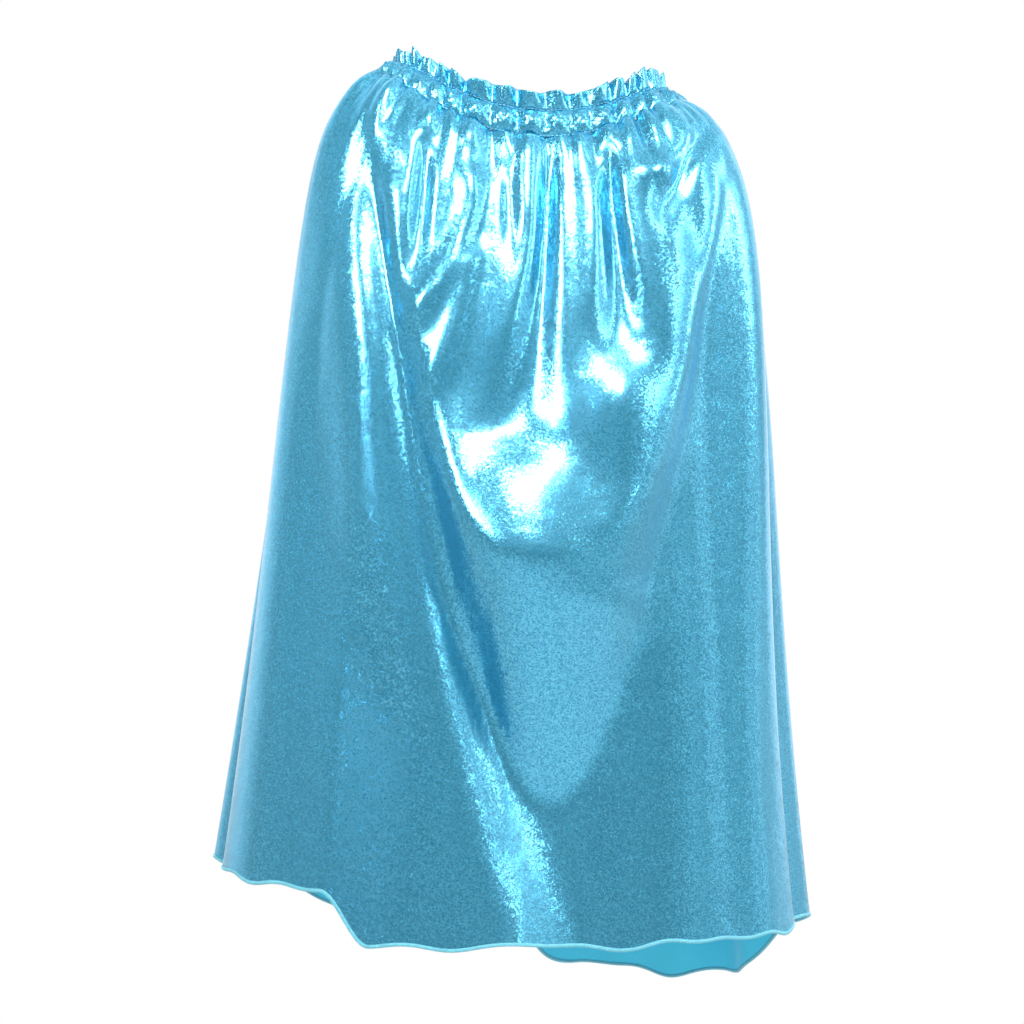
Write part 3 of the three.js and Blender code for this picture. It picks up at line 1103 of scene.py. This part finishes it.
@dataclass
class NeckBand:
    """The gathered casing and the ruffle that stands above it."""

    neck: NeckLine = field(default_factory=NeckLine)
    gathers: Gathers = field(default_factory=Gathers)
    columns: int = 760
    half: float = STITCH_ROW
    puff: float = 3.4
    ruffle: float = 15.0
    thickness: float = 0.5

    def on_band(self, angle: Array, outward: Array, upward: Array) -> Array:
        """A point given by its distance out of the band's face and up its cloth.

        Args:
            angle: Where round the body, in radians.
            outward: Distance out of the band's face.
            upward: Distance up the band's cloth.

        Returns:
            A point for each angle.
        """
        face, up = self.neck.axes(angle)
        return self.neck.centre(angle) + face * outward[..., None] + up * upward[..., None]

    def depth(self, angle: Array, height: Array, side: float) -> Array:
        """How far a gather moves the outer face (side 1) or the inner face (side -1)."""
        return self.gathers.on_band(angle, height) * (1.0 if side > 0 else 0.35)

    def casing(self, foil: bpy.types.Material) -> bpy.types.Object:
        """The casing: a puffed tube of cloth, gathered, with an open channel for the elastic.

        Args:
            foil: Its material.

        Returns:
            The finished piece.
        """
        angle = np.linspace(*self.neck.ends(), self.columns)[None, :]
        turn = np.linspace(0, 2 * pi, 28, endpoint=False)[:, None]
        angle, turn = np.broadcast_arrays(angle, turn)
        height = (self.half + 0.3) * np.sin(turn)
        side = signed_power(np.cos(turn), 2.6)
        pleats = self.gathers.on_band(angle, height)
        inner = 0.35 - 0.3 * between(-np.abs(angle), -0.4, -0.25)
        outer = self.puff * side + pleats * np.where(side > 0, side, inner * side)
        points = self.on_band(angle, outer, height)
        rows, columns = angle.shape
        faces = grid_faces(rows, columns, round_rows=True)
        piece = build_mesh("neck_casing_cloth", points.reshape(-1, 3), faces)
        thicken(piece, self.thickness)
        return complete(piece, [foil], Body.CAPE, "neck_casing")

    def heading_point(self, angle: Array, height: Array) -> Array:
        """The ruffle: it rises more upright than the band and waves out further towards its rim.

        Args:
            angle: Where round the body, in radians.
            height: Distance up the ruffle.

        Returns:
            A point for each angle.
        """
        foot = self.half + 0.2
        _, up = self.neck.axes(angle)
        rise = unit(up * 0.35 + UP * 0.65)
        share = height / self.ruffle
        phase = self.gathers.phase(angle)
        wave = (2.0 + 4.2 * share**0.8) * self.gathers.pleat(phase) * self.gathers.strength(angle)
        wave = wave + share * waver(angle, 31, (50.0, 71.0, 90.0), 1.3)
        tall = 1 + 0.22 * waver(angle, 32, (9.0, 17.0, 29.0), 1.0) - 0.10 * self.gathers.pleat(phase)
        # It lies lower over the left shoulder, and one crest stands up on the right.
        tall = tall - 0.3 * hump(angle, -1.15, 0.45) + 0.35 * hump(angle, 0.98, 0.16)
        base = self.on_band(angle, wave, foot + 0 * angle)
        return base + rise * (height * tall)[..., None]

    def heading(self, foil: bpy.types.Material) -> bpy.types.Object:
        """The ruffle heading: cloth folded double at its rim.

        Args:
            foil: Its material.

        Returns:
            The finished piece.
        """
        angle = np.linspace(*self.neck.ends(), self.columns)[None, :]
        turn = np.linspace(-1, 1, 21)[:, None]
        angle, turn = np.broadcast_arrays(angle, turn)
        height = self.ruffle * (1 - np.abs(turn) ** 1.6)
        points = self.heading_point(angle, height)
        face, _ = self.neck.axes(angle)
        gap = 0.8 * np.sign(turn) * (1 - (1 - np.abs(turn)) ** 4) * np.abs(turn) ** 0.3
        piece = grid_mesh("ruffle_cloth", points - face * gap[..., None])
        thicken(piece, self.thickness)
        return complete(piece, [foil], Body.CAPE, "ruffle_heading")


@dataclass
class Seams:
    """The two rows of thread that make the casing's channel, seen on both faces of the band."""

    band: NeckBand = field(default_factory=NeckBand)
    pitch: float = 3.2
    length: float = 2.5
    radius: float = 0.28
    standing: float = 1.2

    def row(self, name: str, height: float, node: str, thread: bpy.types.Material) -> bpy.types.Object:
        """One row round the band, which follows the gathers on its outer and inner face.

        Args:
            name: The piece's name.
            height: Distance up the band from its middle.
            node: The CAD node that it stands for.
            thread: The material.

        Returns:
            The finished piece.
        """
        round_neck = np.linspace(*self.band.neck.ends(), 600)
        span = np.linalg.norm(np.diff(self.band.neck.centre(round_neck), axis=0), axis=1)
        count = int(span.sum() / self.pitch)
        travel = np.concatenate([[0.0], np.cumsum(span)])
        starts = (np.arange(count) + 0.3) * self.pitch
        ends = starts + self.length
        angles = [np.interp(t, travel, round_neck) for t in (starts, ends)]
        parts = []
        for side in (1.0, -1.0):
            depth = self.standing * side
            holes = [
                self.band.on_band(a, depth + self.band.depth(a, height + 0 * a, side), height + 0 * a)
                for a in angles
            ]
            out, _ = self.band.neck.axes(angles[0])
            parts.append((holes[0], holes[1], out * side))
        joined = [np.concatenate(group) for group in zip(*parts)]
        piece = stitches(name, *joined, self.radius)
        return complete(piece, [thread], Body.CAPE, node)


@dataclass
class Overlock:
    """A rolled edge: dense thread wound round the cloth's edge in slanting turns."""

    panel: CapePanel
    width: float = 1.5
    depth: float = 1.1
    pitch: float = 1.9
    per_turn: int = 5
    sides: int = 10

    def edge(
        self, name: str, across: Array, down: Array, node: str, thread: bpy.types.Material
    ) -> bpy.types.Object:
        """Winds thread along one edge of the panel.

        Args:
            name: The piece's name.
            across: The edge's places across the panel.
            down: The edge's places down the panel.
            node: The CAD node that it stands for.
            thread: The material.

        Returns:
            The finished piece.
        """
        rough = self.panel.surface(across, down)
        travel = np.concatenate([[0.0], np.cumsum(np.linalg.norm(np.diff(rough, axis=0), axis=1))])
        count = int(travel[-1] / self.pitch * self.per_turn)
        at = np.linspace(0, travel[-1], count)
        u, v = np.interp(at, travel, across), np.interp(at, travel, down)
        line = self.panel.surface(u, v)
        along = unit(np.gradient(line, axis=0))
        inner = self.panel.surface(u + 0.004 * np.sign(0.5 - u), np.clip(v - 0.004, 0, 1)) - line
        normal = unit(np.cross(along, inner))
        side = np.cross(normal, along)
        turn = np.linspace(0, 2 * pi, self.sides, endpoint=False)
        # Each ring swells and shrinks a little out of step with its neighbours, as the turns of thread do.
        ridge = 1 + 0.13 * np.cos(2 * pi * at[:, None] / self.pitch + turn[None, :])
        ring = np.cos(turn)[None, :, None] * side[:, None] * self.width
        ring = ring + np.sin(turn)[None, :, None] * normal[:, None] * self.depth
        points = line[:, None] + ring * ridge[..., None]
        piece = build_mesh(name, points.reshape(-1, 3), tube_faces(count, self.sides)[:, ::-1])
        return complete(piece, [thread], Body.CAPE, node)

    def build(self, thread: bpy.types.Material) -> list[bpy.types.Object]:
        """Makes the hem's roll and the two front edges' rolls.

        Args:
            thread: Their material.

        Returns:
            The three rolls.
        """
        step = np.linspace(0, 1, 1600)
        return [
            self.edge("hem_roll", step, 0 * step + 1, "hem_overlock", thread),
            self.edge("front_roll_left", 0 * step, step, "front_edge_overlock_left", thread),
            self.edge("front_roll_right", 0 * step + 1, step, "front_edge_overlock_right", thread),
        ]


@dataclass
class Elastic:
    """The woven elastic inside the casing, stretched a little along the band."""

    band: NeckBand = field(default_factory=NeckBand)
    half: float = 7.2
    columns: int = 420
    thickness: float = 0.9

    def build(self, woven: bpy.types.Material) -> bpy.types.Object:
        """Makes the elastic: a flat ribbed tape that ripples slightly.

        Args:
            woven: Its material.

        Returns:
            The finished piece.
        """
        angle = np.linspace(*self.band.neck.ends(), self.columns)[None, :]
        height = np.linspace(-1, 1, 13)[:, None] * self.half
        angle, height = np.broadcast_arrays(angle, height)
        ripple = 0.25 * np.cos(60 * angle) * np.cos(height)
        points = self.band.on_band(angle, ripple, height)
        travel = np.linalg.norm(np.diff(points[6], axis=0), axis=1)
        along = np.concatenate([[0.0], np.cumsum(travel)])[None, :] + 0 * height
        piece = grid_mesh("elastic_tape", points, np.stack([along, height], -1) * MM)
        thicken(piece, self.thickness)
        return complete(piece, [woven], Body.CAPE, "neck_elastic")


@dataclass
class Closure:
    """The hook-and-loop tab at the throat, with everything sewn to it."""

    origin: tuple[float, float, float] = (0.0, 70.5, -45.0)
    lean: float = 20.0
    half: float = 10.0
    root_end: float = 41.8
    flap_end: float = -43.5
    hinge: float = 6.5
    hinge_half: float = 2.0
    root_level: float = 4.4
    corner: float = 4.0
    stitch: float = 2.4
    tape_half: tuple[float, float] = (16.0, 8.0)
    place: float = -26.0  # the middle of the tapes and their stitching, across

    def at(self, x: Array, outward: Array, upward: Array) -> Array:
        """A point at the throat from its place across, out of the band's face and up the band.

        Args:
            x: Distance across the throat, towards +X.
            outward: Distance out of the band's face.
            upward: Distance up the band's cloth.

        Returns:
            A point for each place.
        """
        tilt = radians(self.lean)
        face, up = np.array([0, cos(tilt), sin(tilt)]), np.array([0, -sin(tilt), cos(tilt)])
        across = x[..., None] * np.array([1.0, 0.0, 0.0])
        return np.array(self.origin) + across + outward[..., None] * face + upward[..., None] * up

    def outward(self, x: Array) -> Array:
        """The tab's middle: flat on the band at its root, and a tape's height above it past the hinge."""
        return self.root_level + 3.0 * between(x, self.hinge - 8.0, self.hinge - 13.0)

    def tab(self, foil: bpy.types.Material) -> bpy.types.Object:
        """The tab: cloth sewn double and turned, so it is soft-edged and slightly fuller in the middle.

        Args:
            foil: Its material.

        Returns:
            The finished piece.
        """
        along = np.linspace(0, 1, 90)[:, None]
        turn = np.linspace(0, 2 * pi, 40, endpoint=False)[None, :]
        along, turn = np.broadcast_arrays(along, turn)
        x = self.root_end + (self.flap_end - self.root_end) * along
        corner = self.corner
        near = np.minimum(self.root_end - x, x - self.flap_end)
        inside = np.clip(corner - near, 0, corner)
        shrink = corner - np.sqrt(np.clip(corner**2 - inside**2, 0, None))
        half = np.maximum(self.half - shrink * 0.98, 0.5) * np.where(near <= 0, 0.0, 1.0)
        body = 0.8 * (1 - (inside / corner) ** 6)
        upward = half * signed_power(np.sin(turn), 6.0)
        thick = body * signed_power(np.cos(turn), 5.0) * (1 - 0.25 * np.abs(np.sin(turn)) ** 8)
        points = self.at(x, self.outward(x) + thick, upward)
        rows, columns = x.shape
        faces = grid_faces(rows, columns, round_columns=True)
        piece = build_mesh("closure_tab_cloth", points.reshape(-1, 3), faces[:, ::-1])
        piece.data.materials.append(foil)
        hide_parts("closure_tab_root", "closure_flap")
        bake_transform(piece)
        return piece

    def stitched_box(
        self, name: str, centre: float, size: tuple[float, float], outward: float, side: float, node: str,
        thread: bpy.types.Material, body: Body, cross: bool = False,
    ) -> bpy.types.Object:
        """A rectangle of stitches, with a cross inside it if asked.

        Args:
            name: The piece's name.
            centre: The rectangle's middle, across.
            size: Its width and height.
            outward: The cloth's face that it lies on.
            side: 1 if the thread shows on the face away from the neck, -1 if on the near one.
            node: The CAD node that it stands for.
            thread: The material.
            body: What it rides on.
            cross: Adds the two diagonals.

        Returns:
            The finished piece.
        """
        w, h = size[0] / 2, size[1] / 2
        corners = np.array([[-w, -h], [w, -h], [w, h], [-w, h], [-w, -h]])
        runs = list(zip(corners[:-1], corners[1:]))
        if cross:
            runs += [(corners[0], corners[2]), (corners[1], corners[3])]
        starts, ends = [], []
        for begin, stop in runs:
            count = max(int(np.linalg.norm(stop - begin) / self.stitch), 1)
            step = (np.arange(count)[:, None] + np.array([[0.1, 0.9]])) / count
            starts.append(begin + (stop - begin) * step[:, :1])
            ends.append(begin + (stop - begin) * step[:, 1:])
        starts, ends = np.concatenate(starts), np.concatenate(ends)
        level = outward + 0 * starts[:, 0]
        first = self.at(centre + starts[:, 0], level, starts[:, 1])
        second = self.at(centre + ends[:, 0], level, ends[:, 1])
        face = unit(self.at(np.array(0.0), np.array(1.0), np.array(0.0)) - np.array(self.origin)) * side
        piece = stitches(name, first, second, np.broadcast_to(face, first.shape), 0.25)
        return complete(piece, [thread], body, node)

    def tape(
        self, name: str, middle: float, back: float, nap: float, hooked: bool, node: str,
        tape: bpy.types.Material, body: Body, slot: Slot,
    ) -> bpy.types.Object:
        """A piece of hook or loop tape: a woven ground with its hooks or its loops on one face.

        Args:
            name: The piece's name.
            middle: The ground's middle, across.
            back: How far out the ground's back lies.
            nap: Which way the hooks or loops stand, as a signed height.
            hooked: Even rows of crooks, or else a tangle of loops.
            node: The CAD node that it stands for.
            tape: The material.
            body: What it rides on.
            slot: Its material slot, which is not used.

        Returns:
            The finished piece.
        """
        ground = 0.45 * np.sign(nap)
        x, up = np.meshgrid(np.linspace(-15.5, 15.5, 21), np.linspace(-7.5, 7.5, 11), indexing="ij")
        x, up = x.ravel(), up.ravel()
        random = np.random.default_rng(51 if hooked else 52)
        if not hooked:
            x = x + random.uniform(-0.7, 0.7, x.size)
            up = up + random.uniform(-0.7, 0.7, up.size)
        step = np.linspace(0, 1, 7)
        heading = np.full(x.size, 0.0) if hooked else random.uniform(0, 2 * pi, x.size)
        turn = step * pi * (1.35 if hooked else 1.0)
        reach = (0.45 if hooked else 0.65) * (1 - np.cos(turn))
        height = abs(nap) * np.sin(np.minimum(turn, pi)) + (0.0 if hooked else 0.1)
        rise = np.sign(nap) * height[None, :] + back + ground
        spines = self.at(
            middle + x[:, None] + np.cos(heading)[:, None] * reach[None, :],
            np.broadcast_to(rise, (x.size, step.size)),
            up[:, None] + np.sin(heading)[:, None] * reach[None, :],
        )
        along = unit(np.gradient(spines, axis=1))
        sideways = self.at(-np.sin(heading), 0 * heading, np.cos(heading)) - np.array(self.origin)
        first = np.broadcast_to(unit(sideways)[:, None], spines.shape)
        second = unit(np.cross(along, first))
        radius = 0.12 if hooked else 0.09
        naps = tubes(name, spines, first * radius, second * radius, 4)
        self.ground(naps, middle, back, ground)
        return complete(naps, [tape], body, node)

    def ground(self, naps: bpy.types.Object, middle: float, back: float, thick: float) -> None:
        """Adds the woven ground under the hooks or loops, as one closed slab.

        Args:
            naps: The hooks or loops, which take the ground's faces.
            middle: The ground's middle, across.
            back: How far out the ground's back lies.
            thick: Its thickness, with the sign of the nap.

        """
        corner = np.array([[-1, -1], [1, -1], [1, 1], [-1, 1]]) * self.tape_half
        low = self.at(middle + corner[:, 0], np.full(4, back), corner[:, 1])
        high = self.at(middle + corner[:, 0], np.full(4, back + thick), corner[:, 1])
        slab = build_mesh("slab", np.concatenate([low, high]), np.array([
            [0, 1, 2, 3], [7, 6, 5, 4], [0, 4, 5, 1], [1, 5, 6, 2], [2, 6, 7, 3], [3, 7, 4, 0],
        ])[:, :: 1 if thick > 0 else -1])
        join(naps, slab)

    def bartack(self, name: str, x: float, node: str, thread: bpy.types.Material) -> bpy.types.Object:
        """A bar of close satin stitches that holds the elastic's end.

        Args:
            name: The piece's name.
            x: Its place across.
            node: The CAD node that it stands for.
            thread: Its material.

        Returns:
            The finished piece.
        """
        up = np.linspace(-6.7, 6.7, 27)
        level = 0 * up - 3.9
        first, second = self.at(x - 1.4 + 0 * up, level, up), self.at(x + 1.4 + 0 * up, level, up + 0.25)
        face = self.at(np.array(0.0), np.array(1.0), np.array(0.0)) - np.array(self.origin)
        piece = stitches(name, first, second, np.broadcast_to(-face, first.shape), 0.28, 0.15)
        return complete(piece, [thread], Body.CAPE, node)

    def build(self, finishes: Finishes) -> list[bpy.types.Object]:
        """Makes the tab, both tapes, their stitching and the elastic's bar tacks.

        Args:
            finishes: Every material.

        Returns:
            The finished pieces.
        """
        thread, at = finishes.thread, self.place
        return [
            self.tab(finishes.foil),
            self.stitched_box("root_stitching", 24.3, (24, 13), 5.35, 1, "closure_root_stitching",
                              thread, Body.CAPE, cross=True),
            self.tape("hook_side", at, 6.3, -0.8, True, "hook_tape",
                      finishes.hooks, Body.FLAP, Slot.HOOKS),
            self.stitched_box("hook_side_stitching", at, (29, 13), 8.25, 1, "hook_tape_stitching",
                              thread, Body.FLAP),
            self.tape("loop_side", at, 3.6, 0.75, False, "loop_tape",
                      finishes.loops, Body.CAPE, Slot.LOOPS),
            self.stitched_box("loop_side_stitching", at, (33, 17), 4.1, 1, "loop_tape_stitching",
                              thread, Body.CAPE),
            self.bartack("elastic_tack_left", -15.5, "elastic_bartack_left", thread),
            self.bartack("elastic_tack_right", 15.5, "elastic_bartack_right", thread),
        ]


@dataclass
class CareLabel:
    """The blank woven label inside the centre back, hanging from its top seam."""

    left: float = -16.0
    right: float = 14.0
    top: float = -13.66
    drop: float = 45.0
    depth: float = -70.6
    thickness: float = 0.25

    def build(self, satin: bpy.types.Material) -> bpy.types.Object:
        """Makes the label, which curls a little towards its free end.

        Args:
            satin: Its material.

        Returns:
            The finished piece.
        """
        across, down = np.meshgrid(np.linspace(0, 1, 31), np.linspace(0, 1, 41))
        x = self.left + (self.right - self.left) * across
        curl = 1.6 * down**3 + 0.5 * down * np.cos(2 * pi * across)
        points = np.stack([x, self.depth + curl, self.top - self.drop * down], -1)
        uv = np.stack([x, -self.drop * down], -1) * MM
        piece = grid_mesh("label_satin_tab", points, uv, flip=True)
        thicken(piece, self.thickness)
        return complete(piece, [satin], Body.LABEL, "care_label")

    def seam(self, thread: bpy.types.Material) -> bpy.types.Object:
        """The row of stitches that catches the label's top edge.

        Args:
            thread: Its material.

        Returns:
            The finished piece.
        """
        x = np.linspace(-13.6, 9.4, 9)
        ones = 0 * x + 1
        first = np.stack([x, -71.4 * ones, self.top * ones - 1.2], -1)
        second = first + np.array([2.2, 0, 0])
        out = np.broadcast_to([0.0, 1.0, 0.0], first.shape)
        piece = stitches("label_seam", first, second, out, 0.25)
        return complete(piece, [thread], Body.CAPE, "care_label_stitching")


# ---- studio --------------------------------------------------------------------------------------


@dataclass(frozen=True)
class Softbox:
    """One rectangular studio light, aimed at a point; a grid may narrow its beam (in degrees)."""

    name: str
    place: tuple[float, float, float]
    size: tuple[float, float]
    watts: float
    target: tuple[float, float, float] = (0.0, 0.0, -0.33)
    beam: float = 180.0

    def build(self) -> bpy.types.Object:
        """Adds the light and turns it towards its target.

        Returns:
            The light.
        """
        data = bpy.data.lights.new(self.name, "AREA")
        data.shape = "RECTANGLE"
        data.size, data.size_y = self.size
        data.energy = self.watts
        data.spread = np.radians(self.beam)
        light = bpy.data.objects.new(self.name, data)
        light.location = self.place
        aim = Vector(self.place) - Vector(self.target)
        light.rotation_euler = aim.to_track_quat("Z", "Y").to_euler()
        bpy.context.collection.objects.link(light)
        return light


@dataclass
class Studio:
    """Camera, floor, world and softboxes."""

    lens: float = 100.0
    distance: float = 2.340
    eye: tuple[float, float] = (-0.0156, -0.3188)
    softboxes: tuple[Softbox, ...] = (
        Softbox("softbox_left", (-1.5, -1.9, 1.0), (0.3, 0.8), 1.7, (-0.12, 0.0, -0.1), 26.0),
        Softbox("softbox_right", (1.7, -1.3, 0.95), (0.12, 1.6), 12.0),
        Softbox("softbox_side", (2.0, -0.25, 0.5), (0.1, 0.9), 9.0),
        Softbox("softbox_top", (0.15, -1.6, 1.35), (0.75, 0.42), 58.0),
    )

    def camera(self) -> None:
        """A long lens, level with the cape's middle, behind the wearer."""
        data = bpy.data.cameras.new("camera")
        data.lens = self.lens
        data.sensor_width = 36.0
        data.clip_end = 50.0
        eye = bpy.data.objects.new("camera", data)
        eye.location = (self.eye[0], -self.distance, self.eye[1])
        eye.rotation_euler = (pi / 2, 0.0, 0.0)
        bpy.context.collection.objects.link(eye)
        bpy.context.scene.camera = eye

    def floor(self) -> None:
        """A plain pale floor well below the hem."""
        side = 8.0
        corners = np.array([[-1, -1, 0], [1, -1, 0], [1, 1, 0], [-1, 1, 0]]) * side / MM
        corners[:, 2] = (CAD_BOX[0][2] - 0.45) / MM
        floor = build_mesh("floor", corners, np.array([[0, 1, 2, 3]]))
        material, tree = new_material("pale_paper")
        paper = add(
            tree, "ShaderNodeBsdfPrincipled",
            {"Base Color": linear("#dcdcdc"), "Roughness": 0.9, "Specular IOR Level": 0.1},
        )
        white = add(tree, "ShaderNodeEmission", {"Color": (1, 1, 1, 1), "Strength": 1.0})
        path = add(tree, "ShaderNodeLightPath", {})
        shown = add(
            tree, "ShaderNodeMixShader", {}, Fac=path.outputs["Is Camera Ray"],
            _1=paper.outputs["BSDF"], _2=white.outputs["Emission"],
        )
        add(tree, "ShaderNodeOutputMaterial", {}, Surface=shown.outputs["Shader"])
        floor.data.materials.append(material)

    def world(self) -> None:
        """White to the eye; what the cape reflects is dim near the camera and bright behind it."""
        world = bpy.data.worlds.new("studio")
        bpy.context.scene.world = world
        world.use_nodes = True
        tree = world.node_tree
        tree.nodes.clear()
        way = add(tree, "ShaderNodeTexCoord", {})
        # The room is brightest behind the cape and to its right.
        bright_side = add(
            tree, "ShaderNodeVectorMath", {"operation": "DOT_PRODUCT", 1: (0.45, 0.9, 0.0)},
            _0=way.outputs["Generated"],
        )
        level = add(
            tree, "ShaderNodeMapRange",
            {
                "interpolation_type": "SMOOTHSTEP",
                "From Min": -0.85, "From Max": 0.7, "To Min": 0.42, "To Max": 1.25,
            },
            Value=bright_side.outputs["Value"],
        )
        clutter = add(
            tree, "ShaderNodeTexNoise", {"Scale": 5.0, "Detail": 2.0}, Vector=way.outputs["Generated"]
        )
        spots = add(
            tree, "ShaderNodeMapRange",
            {"From Min": 0.35, "From Max": 0.65, "To Min": 0.45, "To Max": 1.6},
            Value=clutter.outputs["Fac"],
        )
        strength = add(
            tree, "ShaderNodeMath", {"operation": "MULTIPLY"},
            _0=level.outputs["Result"], _1=spots.outputs["Result"],
        )
        room = add(tree, "ShaderNodeBackground", {"Color": (1, 1, 1, 1)}, Strength=strength.outputs["Value"])
        white = add(tree, "ShaderNodeBackground", {"Color": (1, 1, 1, 1), "Strength": 1.0})
        path = add(tree, "ShaderNodeLightPath", {})
        shown = add(
            tree, "ShaderNodeMixShader", {}, Fac=path.outputs["Is Camera Ray"],
            _1=room.outputs["Background"], _2=white.outputs["Background"],
        )
        add(tree, "ShaderNodeOutputWorld", {}, Surface=shown.outputs["Shader"])

    def build(self) -> None:
        """Sets up the whole studio."""
        bpy.context.scene.view_settings.view_transform = "Standard"
        self.camera()
        self.floor()
        self.world()
        for softbox in self.softboxes:
            softbox.build()


def main() -> None:
    """Builds the cape and its studio."""
    logging.basicConfig(level=logging.INFO, format="%(message)s")
    Studio().build()
    finishes = Finishes.make()
    panel, band, label = CapePanel(), NeckBand(), CareLabel()
    made = [
        panel.build(finishes.foil, finishes.matte),
        band.casing(finishes.foil),
        band.heading(finishes.foil),
        Elastic().build(finishes.elastic),
        Seams().row("upper_stitches", 10.7, "casing_upper_stitching", finishes.thread),
        Seams().row("lower_stitches", -10.7, "casing_lower_stitching", finishes.thread),
        *Overlock(panel).build(finishes.overlock),
        *Closure().build(finishes),
        label.build(finishes.satin),
        label.seam(finishes.thread),
    ]
    for piece in made:
        log.info("%s: %d faces", piece.name, len(piece.data.polygons))


if __name__ == "__main__":
    main()
